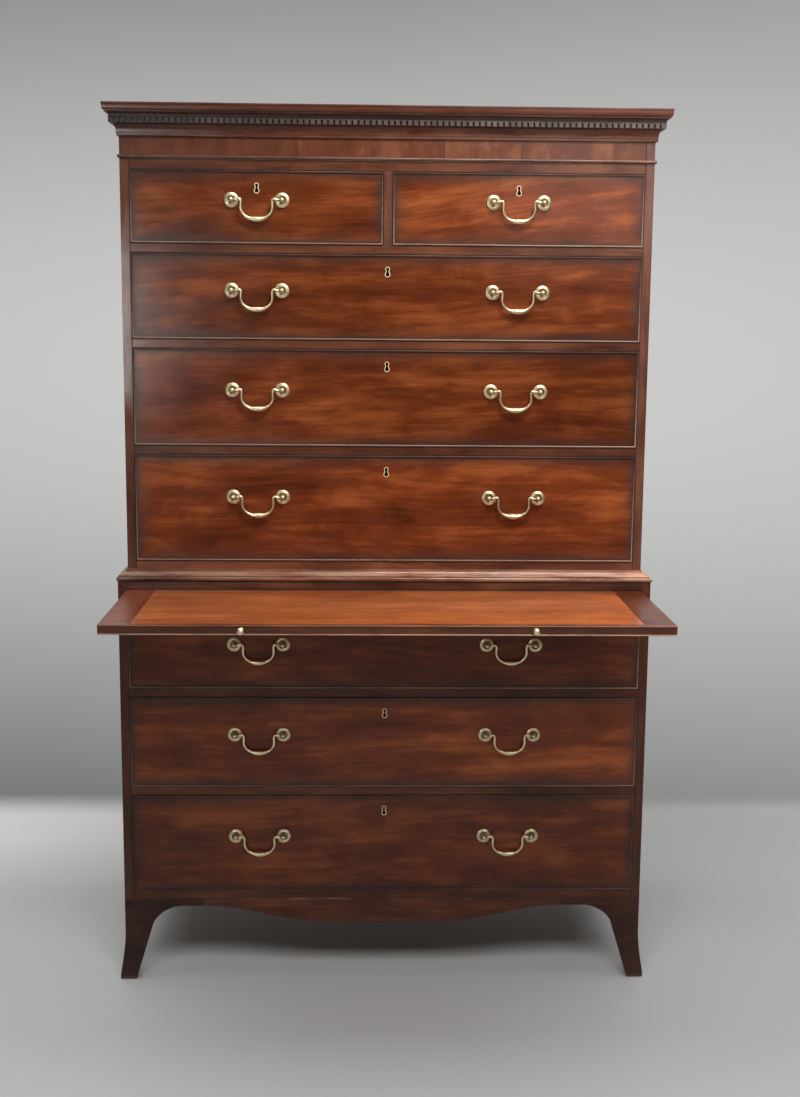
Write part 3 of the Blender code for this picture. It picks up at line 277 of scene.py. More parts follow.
# Each lamp: place, point it is turned to, width, height, power and what it lights
LAMPS = {
    "window lamp": ((1.32, -2.95, 2.62), (0.0, 0.0, 1.05), 1.9, 2.1, 32, chest_alone),
    "softbox": ((0.50, -1.25, 3.25), (0.30, -0.35, 0.9), 1.0, 0.5, 60, chest_alone),
    "ceiling panel": ((0.0, -0.05, 3.50), (0.0, -0.05, 0.0), 5.5, 1.5, 102, chest_alone),
    "left strip": ((-1.14, -2.97, 1.36), (-0.50, 0.0, 1.35), 0.34, 0.60, 12, chest_alone),
    "room panel": ((0.0, -0.05, 3.50), (0.0, -0.05, 0.0), 5.5, 1.5, 62, room_alone),
    "floor panel": ((0.0, -3.40, 4.00), (0.0, 0.0, 0.0), 4.0, 1.6, 125, room_alone),
}
for name, (place, aim, width, height, power, receivers) in LAMPS.items():
    light = bpy.data.lights.new(name, "AREA")
    light.shape = "RECTANGLE"
    light.size = width
    light.size_y = height
    light.energy = power
    lamp = bpy.data.objects.new(name, light)
    lamp.location = place
    lamp.rotation_euler = (Vector(aim) - Vector(place)).to_track_quat("-Z", "Y").to_euler()
    lamp.light_linking.receiver_collection = receivers
    bpy.context.scene.collection.objects.link(lamp)

world = bpy.data.worlds.new("daylight")
world.use_nodes = True
sky = world.node_tree.nodes["Background"]
sky.inputs["Color"].default_value = DAYLIGHT
sky.inputs["Strength"].default_value = DAYLIGHT_STRENGTH
bpy.context.scene.world = world
bpy.context.scene.view_settings.view_transform = "Standard"


# THE FOUR FEET
# Splayed bracket feet in solid mahogany: two brackets mitred at the corner, with a glue
# block in the angle. Each is sawn to a hollow arch, and flares out below the ankle.
LOWER_FRONT = -0.09225
BACK = 0.45275
LOWER_HALF = 0.540
FOOT_TOP = 0.1740
CROWN = 0.158
BRACKET = 0.019
ARCH_DROP = 0.060
ARCH_END = math.radians(18)
ANKLE = CROWN - ARCH_DROP * (1 - math.sin(ARCH_END))
TOE = 0.0225
SPLAY = 0.0122
SPLAY_TOP = 0.100
SPLAY_POWER = 1.6
TOE_UPRIGHT = 0.012
BLOCK = 0.030
BLOCK_SHARE = 0.8
FOOT_STEPS = 12
ARRIS = 0.0007
WORN_SOLE = 0.005
SOLE_ROUND = 0.0025
SOLE_WEAR = 0.9
DARKER_BELOW = 0.15
HAIR = 0.0001
GRIME_AND_SHADE = (0.040, 0.029, 0.024)
PALE_WEAR_AND_HIGHLIGHT = (0.33, 0.205, 0.145)
POLISH = 0.26
# How far to each side the painted light reaches from the middle of the chest
PAINTED_LIGHT_REACH = 0.45


def mahogany(
        name, tones, direction, roughness=0.20, contrast=1.0, worn=(0.36, 0.60),
        tone_and_painted_light=(1.0, 1.0), slant=0.0):
    """Polished mahogany with long soft streaks, mottle, ribbon, pores, grime with painted shade, and
    rubbed edges with painted highlights.

    The tones are the dark, middle and bright colours of the wood. The pair of lightness values
    scales the colour at the left and the right end of the chest: partly the piece's own tone,
    partly painted light, lighter where more light falls and darker where shade falls.
    """
    dark, middle, bright = tones
    wood = Finish(name)
    grain = wood.grained(direction)
    if slant:
        grain = wood.stretch(grain, (1, 1, 1), (0, slant, 0))
    grain = wood.wandering(grain, (1.3, 3.5, 3.5), 2.0, (0.06, 0.055, 0.085))
    streaks = wood.clouds(grain, (2.6, 20, 23), 5.0, 0.60, 0.25)
    mottle = wood.clouds(grain, (6.5, 11, 13), 4.0, 0.60, 0.4)
    figure = wood.clouds(grain, (12, 62, 70), 4.0, 0.65)
    ribbon = wood.clouds(grain, (7, 230, 260))
    cloudy = wood.clouds(grain, (14, 26, 26), 3.0, 0.6)
    patches = wood.clouds(grain, (9, 60, 60), 3.0, 0.65)
    swell = wood.clouds(grain, (1.8, 6, 6))
    holes = wood.spread(wood.clouds(grain, (95, 1700, 1900), 1.0), 0.60, 0.74)

    tone = wood.plus(wood.times(streaks, 0.44), wood.times(mottle, 0.38))
    tone = wood.plus(tone, wood.times(figure, 0.18))
    half_spread = 0.115 / contrast
    tone = wood.spread(tone, 0.5 - half_spread, 0.5 + half_spread)
    colour = wood.mix(wood.spread(tone, 0.0, 0.55), dark, middle)
    colour = wood.mix(wood.spread(tone, 0.50, 1.0), colour, bright)
    colour = wood.shade(colour, wood.spread(ribbon, 0.30, 0.70, 0.82, 1.11))
    colour = wood.mix(wood.times(holes, 0.40), colour, dark)
    # Grime, and painted shade in gaps, hollows and under overhangs: the colour darkened where marked.
    grime = wood.times(wood.marked("grime"), wood.spread(cloudy, 0.22, 0.78, 0.62, 1.0))
    colour = wood.mix(grime, colour, GRIME_AND_SHADE)
    # Wear, and painted highlights along the crests: the colour made paler where marked.
    rubbed = wood.times(wood.marked("rubbed"), wood.spread(patches, *worn))
    colour = wood.mix(rubbed, colour, PALE_WEAR_AND_HIGHLIGHT)
    # Painted light: the colour is scaled from the left end to the right end of the chest.
    across = wood.parts(wood.place)[0]
    colour = wood.shade(colour, wood.spread(across, -PAINTED_LIGHT_REACH, PAINTED_LIGHT_REACH, *tone_and_painted_light))

    shine = wood.spread(cloudy, 0.3, 0.7, roughness - 0.05, roughness + 0.06)
    shine = wood.plus(shine, wood.times(grime, 0.12))
    height = wood.plus(wood.times(swell, 2.2), wood.times(ribbon, 0.10))
    height = wood.math("SUBTRACT", height, wood.times(holes, 0.15))
    return wood.done(colour, shine, height, 0.0004, 0.35, Specular_IOR_Level=POLISH)


def fit(name, bm, finish, body, stands_for=(), round_below=None):
    """Turn a mesh into a piece: its finish, its body, and the CAD parts that it stands for."""
    bmesh.ops.recalc_face_normals(bm, faces=bm.faces)
    mesh = bpy.data.meshes.new(name)
    bm.to_mesh(mesh)
    bm.free()
    mesh.materials.append(finish)
    if round_below is not None:
        mesh.shade_smooth()
        mesh.set_sharp_from_angle(angle=math.radians(round_below))
    piece = bpy.data.objects.new(name, mesh)
    bpy.context.scene.collection.objects.link(piece)
    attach(piece, body)
    if stands_for:
        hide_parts(*stands_for)
    return piece


def mark(piece, name, rule):
    """Store a mark from 0 to 1 at each point of a piece: grime with painted shade, or wear with painted
    highlights.
    """
    values = piece.data.attributes.new(name, "FLOAT", "POINT").data
    for vert, value in zip(piece.data.vertices, values):
        value.value = rule(vert.co)


def sweep(bm, rows, marks=()):
    """Carry a closed outline from row to row by extruding its edges, and close both ends.

    Each mark is a name and one value for every point of the outline.
    """
    station = bm.verts.layers.int.new("station")
    layers = [bm.verts.layers.float.new(name) for name, _ in marks]
    first = []
    for index, point in enumerate(rows[0]):
        vert = bm.verts.new(point)
        vert[station] = index
        for layer, (_, values) in zip(layers, marks):
            vert[layer] = values[index]
        first.append(vert)
    ring = [bm.edges.new((first[index - 1], first[index])) for index in range(len(first))]
    bmesh.ops.contextual_create(bm, geom=ring)
    for row in rows[1:]:
        grown = bmesh.ops.extrude_edge_only(bm, edges=ring)["geom"]
        fresh = set(verts_in(grown))
        for vert in fresh:
            vert.co = row[vert[station]]
        ring = [
            item for item in grown
            if isinstance(item, bmesh.types.BMEdge) and all(vert in fresh for vert in item.verts)]
    bmesh.ops.contextual_create(bm, geom=ring)


def ease(bm, chosen, radius, segments=2):
    """Round the chosen edges over."""
    bmesh.ops.bevel(
        bm, geom=chosen, offset=radius, offset_type="OFFSET", segments=segments, profile=0.5,
        affect="EDGES", clamp_overlap=False, material=-1)


BASE_TONES = ((0.042, 0.0115, 0.0055), (0.092, 0.0260, 0.0118), (0.150, 0.0450, 0.0195))
# The feet are painted darker than the same wood in the apron, as shade falls low by the floor, and
# lighter at the right.
foot_wood = mahogany("foot mahogany", BASE_TONES, "run", tone_and_painted_light=(0.54, 0.68))


def bracket_width(height, start, reach):
    """How far a bracket stretches from its corner at a height."""
    if height <= ANKLE:
        return TOE + (start - reach * math.cos(ARCH_END) - TOE) * height / ANKLE
    rise = (height - (CROWN - ARCH_DROP)) / ARCH_DROP
    return start - reach * math.sqrt(max(0, 1 - rise * rise))


foot_heights = [ANKLE * step / FOOT_STEPS for step in range(FOOT_STEPS + 1)]
for step in range(1, FOOT_STEPS + 1):
    angle = ARCH_END + (math.pi / 2 - ARCH_END) * step / FOOT_STEPS
    foot_heights.append(CROWN - ARCH_DROP * (1 - math.sin(angle)))

# Where the arch starts and how far it reaches, across the front or back, and the wing's length
SIDE_ARCH = (0.125, 0.071, 0.165)
FOOT_SHAPES = {"front": SIDE_ARCH, "back": (0.095, 0.048, 0.110)}
for end, (start, reach, wing) in FOOT_SHAPES.items():
    face_y, inward = (LOWER_FRONT, 1) if end == "front" else (BACK, -1)
    for side, hand in ((-1, "left"), (1, "right")):
        levels = [
            (height, bracket_width(height, start, reach), bracket_width(height, *SIDE_ARCH[:2]))
            for height in foot_heights]
        levels += [(height, wing, SIDE_ARCH[2]) for height in (CROWN + HAIR, FOOT_TOP)]
        rows = []
        for height, wide, deep in levels:
            flare = SPLAY * max(0, 1 - max(height, TOE_UPRIGHT) / SPLAY_TOP) ** SPLAY_POWER
            flare_y = flare if end == "front" else 0
            glued = BRACKET + min(BLOCK, (min(wide, deep) - BRACKET) * BLOCK_SHARE)
            flat = (
                (-flare, -flare_y), (wide, -flare_y), (wide, BRACKET), (glued, BRACKET),
                (BRACKET, glued), (BRACKET, deep), (-flare, deep))
            rows.append([
                Vector((side * (LOWER_HALF - x), face_y + inward * y, height)) for x, y in flat])
        bm = bmesh.new()
        sweep(bm, rows)
        station = bm.verts.layers.int["station"]
        arrises = [
            edge for edge in bm.edges
            if edge.verts[0][station] == edge.verts[1][station] and edge.verts[0][station] in (0, 1, 6)
            and max(vert.co.z for vert in edge.verts) < CROWN]
        ease(bm, arrises, ARRIS)
        sole = [
            edge for edge in bm.edges
            if all(vert.co.z < HAIR for vert in edge.verts) and edge.is_manifold]
        ease(bm, sole, SOLE_ROUND, 3)
        foot = fit(
            f"{end}_foot_{hand}", bm, foot_wood, "case",
            [f"foot_{end}_{hand}"], 32)
        # Rubbed pale along the sole, and darker towards the floor.
        mark(foot, "rubbed", lambda co: SOLE_WEAR * max(0.0, 1 - co.z / WORN_SOLE))
        mark(foot, "grime", lambda co: 0.55 * max(0.0, 1 - co.z / DARKER_BELOW) + 0.08)


# THE APRON
# A solid mahogany board between the front feet, sawn along its foot to a long shallow
# serpentine that hangs lowest in the middle.
APRON_HALF = 0.3750
APRON_DIP = 0.0385
APRON_OGEE = 0.9
APRON_RAMP = 0.7
APRON_STEPS = 60
SAWN_EASE = 0.0008
SCUFF = 0.0032
SCUFF_HALF = 0.33
NEAR = 0.001
# Where the apron starts to darken towards each foot, and where it is darkest along the sawn edge
DARKENS_FROM = 0.27
DARKEST_AT = 0.118
DARKENS_OVER = 0.012


def apron_foot(share):
    """Height of the apron's sawn edge at a share of its half length."""
    ramp = min((1 - share) / APRON_RAMP, 1)
    ogee = ramp * ramp * (3 - 2 * ramp)
    return CROWN - APRON_DIP * (APRON_OGEE * ogee + (1 - APRON_OGEE) * (1 - share))


def raise_faces(bm, faces, move):
    """Extrude faces, keeping them behind as the back of a closed block, and give what rose."""
    risen = verts_in(bmesh.ops.extrude_face_region(bm, geom=faces, use_keep_orig=True)["geom"])
    bmesh.ops.translate(bm, verts=risen, vec=move)
    return risen


def score(bm, place, facing):
    """Score a mesh with a flat line all round, for a change of colour there."""
    bmesh.ops.bisect_plane(
        bm, geom=bm.verts[:] + bm.edges[:] + bm.faces[:], plane_co=place, plane_no=facing,
        dist=0.000001)


def apron_darkening(co):
    """Darker along the sawn edge where it hangs lowest, and towards the feet."""
    foot = 0.5 * max(0.0, 1 - (co.z - DARKEST_AT) / DARKENS_OVER)
    return max(foot, 0.55 * max(0.0, (abs(co.x) - DARKENS_FROM) / (APRON_HALF - DARKENS_FROM)))


def apron_wear(co):
    """Rubbed along the joint above, which stands a little proud."""
    return 0.9 if co.z > FOOT_TOP - SCUFF / 2 and abs(co.x) < SCUFF_HALF else 0.0


bm = bmesh.new()
bmesh.ops.create_grid(bm, x_segments=APRON_STEPS, y_segments=1, size=1)
for vert in bm.verts:
    share, high = vert.co.x, vert.co.y > 0
    vert.co = (share * APRON_HALF, LOWER_FRONT, FOOT_TOP if high else apron_foot(abs(share)))
raise_faces(bm, list(bm.faces), (0, BRACKET, 0))
sawn = [
    edge for edge in bm.edges
    if all(vert.co.y < LOWER_FRONT + NEAR and vert.co.z < FOOT_TOP - NEAR for vert in edge.verts)
    and abs(edge.verts[0].co.x - edge.verts[1].co.x) > NEAR]
ease(bm, sawn, SAWN_EASE)
score(bm, (0, 0, FOOT_TOP - SCUFF), (0, 0, 1))
# The apron is painted a fifth lighter than the base's other boards: painted light.
apron_wood = mahogany("apron mahogany", BASE_TONES, "X", worn=(0.53, 0.64), tone_and_painted_light=(1.2, 1.2))
apron = fit("apron", bm, apron_wood, "case", ["front_apron"], 32)
mark(apron, "grime", apron_darkening)
mark(apron, "rubbed", apron_wear)


# THE CASES
# Sides, rails and boards in solid mahogany, housed into each other. Behind the front rail
# come runners and dustboards in oak, and the backs are upright deal boards, nailed on.
UPPER_FRONT = -0.07425
RAIL_DEPTH = 0.050
BOARD_EASE = 0.0005
SIDE_EASE = 0.0008
SHORT_EDGE = 0.05
GAP_SHADE = 0.0025
GAP_DEPTH = 0.004
DARKER_TO = 0.03
DARKENING_LINE = 0.12
FLAT = 0.0002
BOARD_WIDTH = 0.172
JOINT_HALF = 0.0008
JOINT_FADE = 0.0022
JOINT_DARK = (0.030, 0.018, 0.010)
BARE_ROUGHNESS = 0.62
NAIL_RADIUS = 0.0032
NAIL_RISE = 0.0004
NAIL_SUNK = 0.00045
NAIL_INSET = 0.016
NAIL_ROWS = 5
NAIL_COLUMNS = 11
NAIL_WANDER = 0.003


def bare_wood(name, pale, dark, direction, ring_scale, board_width=0.0):
    """Unpolished wood with growth rings, fine fibres and handling marks.

    With a board width, upright boards of that width differ in tone and meet at dark joints.
    """
    wood = Finish(name)
    grain = wood.wandering(wood.grained(direction), (0.8, 2.5, 2.5), 1.0, (0.0, 0.06, 0.06))
    rings = wood.clouds(grain, (0.7, ring_scale, ring_scale), 3.0, 0.6)
    fibres = wood.clouds(grain, (22, 700, 700))
    stains = wood.clouds(wood.place, (5, 5, 5), 4.0, 0.6)
    colour = wood.mix(wood.spread(rings, 0.36, 0.64), pale, dark)
    colour = wood.shade(colour, wood.spread(fibres, 0.3, 0.7, 0.82, 1.08))
    colour = wood.mix(wood.spread(stains, 0.52, 0.78, 0.0, 0.45), colour, dark)
    if board_width:
        boards = wood.math("DIVIDE", wood.parts(wood.place)[0], board_width)
        chance = wood.add("TexWhiteNoise", {1: wood.math("FLOOR", boards)}, noise_dimensions="1D")
        colour = wood.shade(colour, wood.spread(chance, 0.0, 1.0, 0.80, 1.10))
        beside = wood.math("ABSOLUTE", wood.math("SUBTRACT", wood.math("FRACT", boards), 0.5))
        joint = wood.spread(beside, 0.5 - JOINT_FADE / board_width, 0.5 - JOINT_HALF / board_width)
        colour = wood.mix(wood.times(joint, 0.85), colour, JOINT_DARK)
    shine = wood.spread(fibres, 0.3, 0.7, BARE_ROUGHNESS - 0.05, BARE_ROUGHNESS + 0.1)
    height = wood.plus(wood.times(rings, 0.6), fibres)
    return wood.done(colour, shine, height, 0.00025, 0.5)


OAK_PALE = (0.300, 0.180, 0.088)
OAK_DARK = (0.135, 0.072, 0.032)
DEAL_PALE = (0.340, 0.200, 0.095)
DEAL_DARK = (0.170, 0.082, 0.034)
# The case's tones are greyer in green and blue than the wood: partly its tone, partly a painted sheen of
# light off the polish. The rails are painted lighter at the right end, where more light falls, and the
# plinth lighter still, where light bounced off the slide falls.
CASE_TONES_AND_SHEEN = ((0.050, 0.0150, 0.0080), (0.110, 0.0350, 0.0175), (0.182, 0.0610, 0.0290))
rail_wood = mahogany("case mahogany across", CASE_TONES_AND_SHEEN, "X", tone_and_painted_light=(0.78, 1.22))
plinth_wood = mahogany("plinth mahogany", CASE_TONES_AND_SHEEN, "X", tone_and_painted_light=(1.35, 1.60))
base_rail_wood = mahogany("base mahogany across", BASE_TONES, "X")
# The sides' tones carry a stronger painted sheen, and are painted lighter at the right end.
SIDE_TONES_AND_SHEEN = ((0.056, 0.0210, 0.0130), (0.115, 0.0440, 0.0270), (0.185, 0.0720, 0.0430))
side_wood = mahogany("case mahogany upright", SIDE_TONES_AND_SHEEN, "Z", 0.11, 0.8, tone_and_painted_light=(0.9, 1.25))
base_side_wood = mahogany("base mahogany upright", BASE_TONES, "Z", 0.18, 0.8)
oak = bare_wood("bare oak", OAK_PALE, OAK_DARK, "run", 42)
oak_boards = bare_wood("bare oak across", OAK_PALE, OAK_DARK, "X", 42)
deal = bare_wood("bare deal upright", DEAL_PALE, DEAL_DARK, "Z", 30, BOARD_WIDTH)

iron = Finish("nail iron")
rust = iron.clouds(iron.place, (260, 260, 260), 3.0, 0.6)
nail_iron = iron.done(
    iron.mix(iron.spread(rust, 0.4, 0.62), (0.045, 0.040, 0.038), (0.120, 0.055, 0.026)),
    iron.spread(rust, 0.3, 0.7, 0.45, 0.75), rust, 0.0002, 0.6, Metallic=0.7)


def merged_copy(node):
    """A copy of a CAD node's mesh as one clean skin, with its flat faces whole."""
    bm = bmesh.new()
    bm.from_mesh(frame["nodes"][node].data)
    bmesh.ops.remove_doubles(bm, verts=bm.verts, dist=0.00001)
    bmesh.ops.dissolve_limit(
        bm, angle_limit=math.radians(0.5), verts=bm.verts, edges=bm.edges, use_dissolve_boundaries=False)
    bm.normal_update()
    return bm


def front_edges(bm, face_y):
    """The sharp edges that bound a copy's front face."""
    return [
        edge for edge in bm.edges
        if all(vert.co.y < face_y + FLAT for vert in edge.verts)
        and edge.is_manifold and edge.calc_face_angle() > 0.5]


def paint_gap_shade(bm, face_y, axis, ends=(0, 1)):
    """Paint shade on a thin strip of a front face beside the gap round a drawer, where shadow falls into
    the gap.
    """
    spans = [vert.co[axis] for vert in bm.verts if vert.co.y < face_y + FLAT]
    limits = (min(spans), max(spans))
    layer = bm.verts.layers.float.new("grime")
    across = Vector((axis == 0, 0, axis == 2))
    for end in ends:
        inward = 1 if end == 0 else -1
        score(bm, across * (limits[end] + inward * GAP_SHADE), across)
        for vert in bm.verts:
            if vert.co.y < face_y + GAP_DEPTH and abs(vert.co[axis] - limits[end]) < BOARD_EASE * 1.8:
                vert[layer] = 1.0
    return layer


case_boards = {
    "lower_bottom_board": (LOWER_FRONT, base_rail_wood), "lower_rail_1": (LOWER_FRONT, base_rail_wood),
    "lower_rail_2": (LOWER_FRONT, base_rail_wood), "slide_rail": (LOWER_FRONT, base_rail_wood),
    "lower_top_board": (LOWER_FRONT, rail_wood), "upper_bottom_board": (UPPER_FRONT, plinth_wood),
    "upper_rail_1": (UPPER_FRONT, rail_wood), "upper_rail_2": (UPPER_FRONT, rail_wood),
    "upper_rail_3": (UPPER_FRONT, rail_wood), "upper_top_board": (UPPER_FRONT, rail_wood),
    "drawer_divider": (UPPER_FRONT, side_wood),
}
for node, (face_y, front) in case_boards.items():
    bm = merged_copy(node)
    show_end = face_y + RAIL_DEPTH
    score(bm, (0, show_end, 0), (0, 1, 0))
    ease(bm, front_edges(bm, face_y), BOARD_EASE)
    paint_gap_shade(bm, face_y, 0 if node == "drawer_divider" else 2)
    for face in bm.faces:
        face.material_index = 1 if face.calc_center_median().y > show_end - 0.00001 else 0
    board = fit(node + "_wood", bm, front, "case", [node])
    board.data.materials.append(oak_boards)

for case, face_y, wood in (("lower", LOWER_FRONT, base_side_wood), ("upper", UPPER_FRONT, side_wood)):
    for hand in ("left", "right"):
        node = f"{case}_side_{hand}"
        bm = merged_copy(node)
        upright = [
            edge for edge in front_edges(bm, face_y)
            if abs(edge.verts[0].co.z - edge.verts[1].co.z) > SHORT_EDGE]
        ease(bm, upright, SIDE_EASE)
        layer = paint_gap_shade(bm, face_y, 0, (1 if hand == "left" else 0,))
        # The lower sides darken towards their foot.
        if case == "lower":
            score(bm, (0, 0, FOOT_TOP + DARKENING_LINE), (0, 0, 1))
            for vert in bm.verts:
                if vert.co.z < FOOT_TOP + DARKER_TO:
                    vert[layer] = max(vert[layer], 0.6)
        fit(node + "_wood", bm, wood, "case", [node])

FORWARD = Matrix.Rotation(math.pi / 2, 4, "X")
for node in ("lower_back_boards", "upper_back_boards"):
    low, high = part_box(node)
    fit(node + "_wood", merged_copy(node), deal, "case", [node])
    bm = bmesh.new()
    for row in range(NAIL_ROWS):
        z = low.z + NAIL_INSET + (high.z - low.z - 2 * NAIL_INSET) * row / (NAIL_ROWS - 1)
        for column in range(NAIL_COLUMNS):
            if 0 < row < NAIL_ROWS - 1 and 0 < column < NAIL_COLUMNS - 1:
                continue
            x = low.x + NAIL_INSET + (high.x - low.x - 2 * NAIL_INSET) * column / (NAIL_COLUMNS - 1)
            place = Vector((x, BACK - NAIL_SUNK, z + NAIL_WANDER * math.sin(9 * column + 5 * row)))
            head = bmesh.ops.create_circle(
                bm, cap_ends=True, segments=8, radius=NAIL_RADIUS,
                matrix=Matrix.Translation(place) @ FORWARD)
            faces = list({face for vert in head["verts"] for face in vert.link_faces})
            crown = raise_faces(bm, faces, (0, NAIL_RISE, 0))
            bmesh.ops.scale(
                bm, verts=crown, vec=(0.8, 1, 0.8), space=Matrix.Translation((-place.x, 0, -place.z)))
    fit(node + "_nails", bm, nail_iron, "case")


# THE WAIST MOULDING AND THE ASTRAGAL
# Two mahogany mouldings, run with a plane and mitred at the front corners: a half-round
# nose under a cove where the upper case stands, and a small half round under the frieze.
UPPER_HALF = 0.522
WAIST_FOOT = 0.8478
WAIST_HEIGHT = 0.0235
WAIST_OUT = 0.0205
ASTRAGAL_FOOT = 1.6783
ASTRAGAL_HEIGHT = 0.0067
ASTRAGAL_OUT = 0.004
ARC_STEPS = 7


def outline(steps):
    """Follow a profile of steps (kind, out, up, wear with a painted highlight, grime with painted shade)
    and give its points and its marks.

    A line goes straight to its point. A hollow leaves upright and ends level, and a round
    leaves level and ends upright.
    """
    points = []
    for kind, out, up, rubbed, grime in steps:
        if kind == "line":
            points.append((out, up, rubbed, grime))
            continue
        start = points[-1]
        for step in range(1, ARC_STEPS + 1):
            angle = math.pi / 2 * step / ARC_STEPS
            if kind == "hollow":
                across, rise = 1 - math.cos(angle), math.sin(angle)
            else:
                across, rise = math.sin(angle), 1 - math.cos(angle)
            share = step / ARC_STEPS
            points.append((
                start[0] + (out - start[0]) * across, start[1] + (up - start[1]) * rise,
                start[2] + (rubbed - start[2]) * share, start[3] + (grime - start[3]) * share))
    return points


def mitred_run(bm, points, half_width, face_y, foot_z):
    """Run a profile along the left side, the front and the right side, mitred at the corners."""
    rows = []
    for side, at_back in ((-1, True), (-1, False), (1, False), (1, True)):
        rows.append([
            Vector((side * (half_width + out), BACK if at_back else face_y - out, foot_z + up))
            for out, up, _, _ in points])
    sweep(bm, rows, (
        ("rubbed", [point[2] for point in points]), ("grime", [point[3] for point in points])))


BED = 0.0003
# The fourth value of each step paints wear with a pale highlight on the crests, and the fifth paints
# shade under the nose and in the steps.
waist_profile = outline((
    ("line", BED, 0.0, 0.0, 0.9),
    ("line", 0.0158, 0.0, 0.1, 0.8),
    ("round", WAIST_OUT, 0.0047, 0.30, 0.0),
    ("hollow", 0.0178, 0.0090, 0.60, 0.0),
    ("line", 0.0162, 0.0091, 0.10, 0.5),
    ("line", 0.0162, 0.0117, 0.70, 0.0),
    ("line", 0.0150, 0.0119, 0.80, 0.0),
    ("round", 0.0021, 0.0230, 0.10, 0.0),
    ("line", 0.0019, WAIST_HEIGHT, 0.45, 0.1),
    ("line", BED, WAIST_HEIGHT, 0.0, 0.9),
))
# Here too the fourth value paints wear with a highlight, and the fifth shade in the creases beside the
# bead.
astragal_profile = outline((
    ("line", BED, 0.0, 0.0, 1.0),
    ("line", 0.0008, 0.0, 0.0, 1.0),
    ("round", ASTRAGAL_OUT, ASTRAGAL_HEIGHT / 2, 0.35, 0.1),
    ("hollow", 0.0008, ASTRAGAL_HEIGHT, 0.1, 0.9),
    ("line", BED, ASTRAGAL_HEIGHT, 0.0, 1.0),
))
# The waist moulding is painted up to twice as light at its right end, where its highlight falls, and the
# astragal lighter to the right as well.
moulding_wood = mahogany("moulding mahogany", CASE_TONES_AND_SHEEN, "run", 0.15, 1.1, tone_and_painted_light=(0.85, 2.1))
astragal_wood = mahogany("astragal mahogany", CASE_TONES_AND_SHEEN, "run", 0.20, tone_and_painted_light=(0.6, 1.1))
bm = bmesh.new()
mitred_run(bm, waist_profile, UPPER_HALF, UPPER_FRONT, WAIST_FOOT)
fit("waist_run", bm, moulding_wood, "case", ["waist_moulding"], 34)

bm = bmesh.new()
mitred_run(bm, astragal_profile, UPPER_HALF, UPPER_FRONT, ASTRAGAL_FOOT)
fit("astragal", bm, astragal_wood, "case", ["frieze"], 34)


# THE BRUSHING SLIDE
# A board of bright mahogany between two cross-grained clamps, with a beaded lip along its
# front and two turned brass knobs to pull it out by.
SLIDE_LOW, SLIDE_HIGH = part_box("slide_panel")
CLAMP_WIDTH = 0.057
LIP_DEPTH = 0.014
LIP_BEAD = 0.0014
LIP_STEPS = 8
PANEL_EASE = 0.0004
CLAMP_EASE = 0.0006
# Where the panel is scored across, out from the case, and how dark the painted shade beside the case is
# up to a place
PANEL_SCORES = (0.004, 0.020, 0.075)
PAINTED_SHADE_BESIDE_CASE = ((0.005, 0.85), (0.030, 0.28))
HARD_WEAR = (0.20, 0.50)
SLIDE_TONES = ((0.205, 0.047, 0.0115), (0.305, 0.076, 0.0190), (0.400, 0.112, 0.030))
CLAMP_TONES = ((0.060, 0.0105, 0.0022), (0.098, 0.0185, 0.0042), (0.155, 0.033, 0.008))
LIP_TONES = ((0.050, 0.0120, 0.0045), (0.090, 0.0230, 0.0070), (0.150, 0.040, 0.012))
# The slide and its lip are painted lighter at the right end, where more light falls.
slide_wood = mahogany("slide mahogany", SLIDE_TONES, "X", 0.20, 0.8, tone_and_painted_light=(0.80, 1.10))
clamp_wood = mahogany("clamp mahogany", CLAMP_TONES, "Y", 0.32, 0.8)
lip_wood = mahogany(
    "slide lip mahogany", LIP_TONES, "X", 0.22, 1.0, HARD_WEAR, tone_and_painted_light=(1.10, 1.40))


def block(bm, low, high):
    """Add a squared block of wood between two corners, and give its faces."""
    low, high = Vector(low), Vector(high)
    place = Matrix.Translation((low + high) / 2) @ Matrix.Diagonal((*(high - low), 1))
    made = bmesh.ops.create_cube(bm, size=1, matrix=place)
    return list({face for vert in made["verts"] for face in vert.link_faces})


def deep_edges(bm):
    """The long edges of a piece that run from front to back."""
    return [edge for edge in bm.edges if abs(edge.verts[0].co.y - edge.verts[1].co.y) > 0.1]


def shade_beside_case(co):
    """How dark the board is painted beside the case: painted shade where the case's shadow falls on it.
    """
    for reach, dark in PAINTED_SHADE_BESIDE_CASE:
        if LOWER_FRONT - co.y < reach:
            return dark
    return 0.0


inner_half = SLIDE_HIGH.x - CLAMP_WIDTH - BED
bm = bmesh.new()
block(
    bm, (-inner_half, SLIDE_LOW.y + LIP_DEPTH, SLIDE_LOW.z), (inner_half, SLIDE_HIGH.y, SLIDE_HIGH.z))
ease(bm, deep_edges(bm), PANEL_EASE)
for away in PANEL_SCORES:
    score(bm, (0, LOWER_FRONT - away, 0), (0, 1, 0))
board = fit("slide_board", bm, slide_wood, "brushing_slide", ["slide_panel"])
mark(board, "grime", shade_beside_case)

lip_profile = [(LIP_DEPTH, 0)]
for middle in (LIP_BEAD, SLIDE_HIGH.z - SLIDE_LOW.z - LIP_BEAD):
    for step in range(LIP_STEPS + 1):
        angle = math.pi * (step / LIP_STEPS - 1 / 2)
        lip_profile.append((
            LIP_BEAD - LIP_BEAD * math.cos(angle), middle + LIP_BEAD * math.sin(angle)))
lip_profile.append((LIP_DEPTH, SLIDE_HIGH.z - SLIDE_LOW.z))
rows = [
    [Vector((x, SLIDE_LOW.y + deep, SLIDE_LOW.z + up)) for deep, up in lip_profile]
    for x in (SLIDE_LOW.x, SLIDE_HIGH.x)]
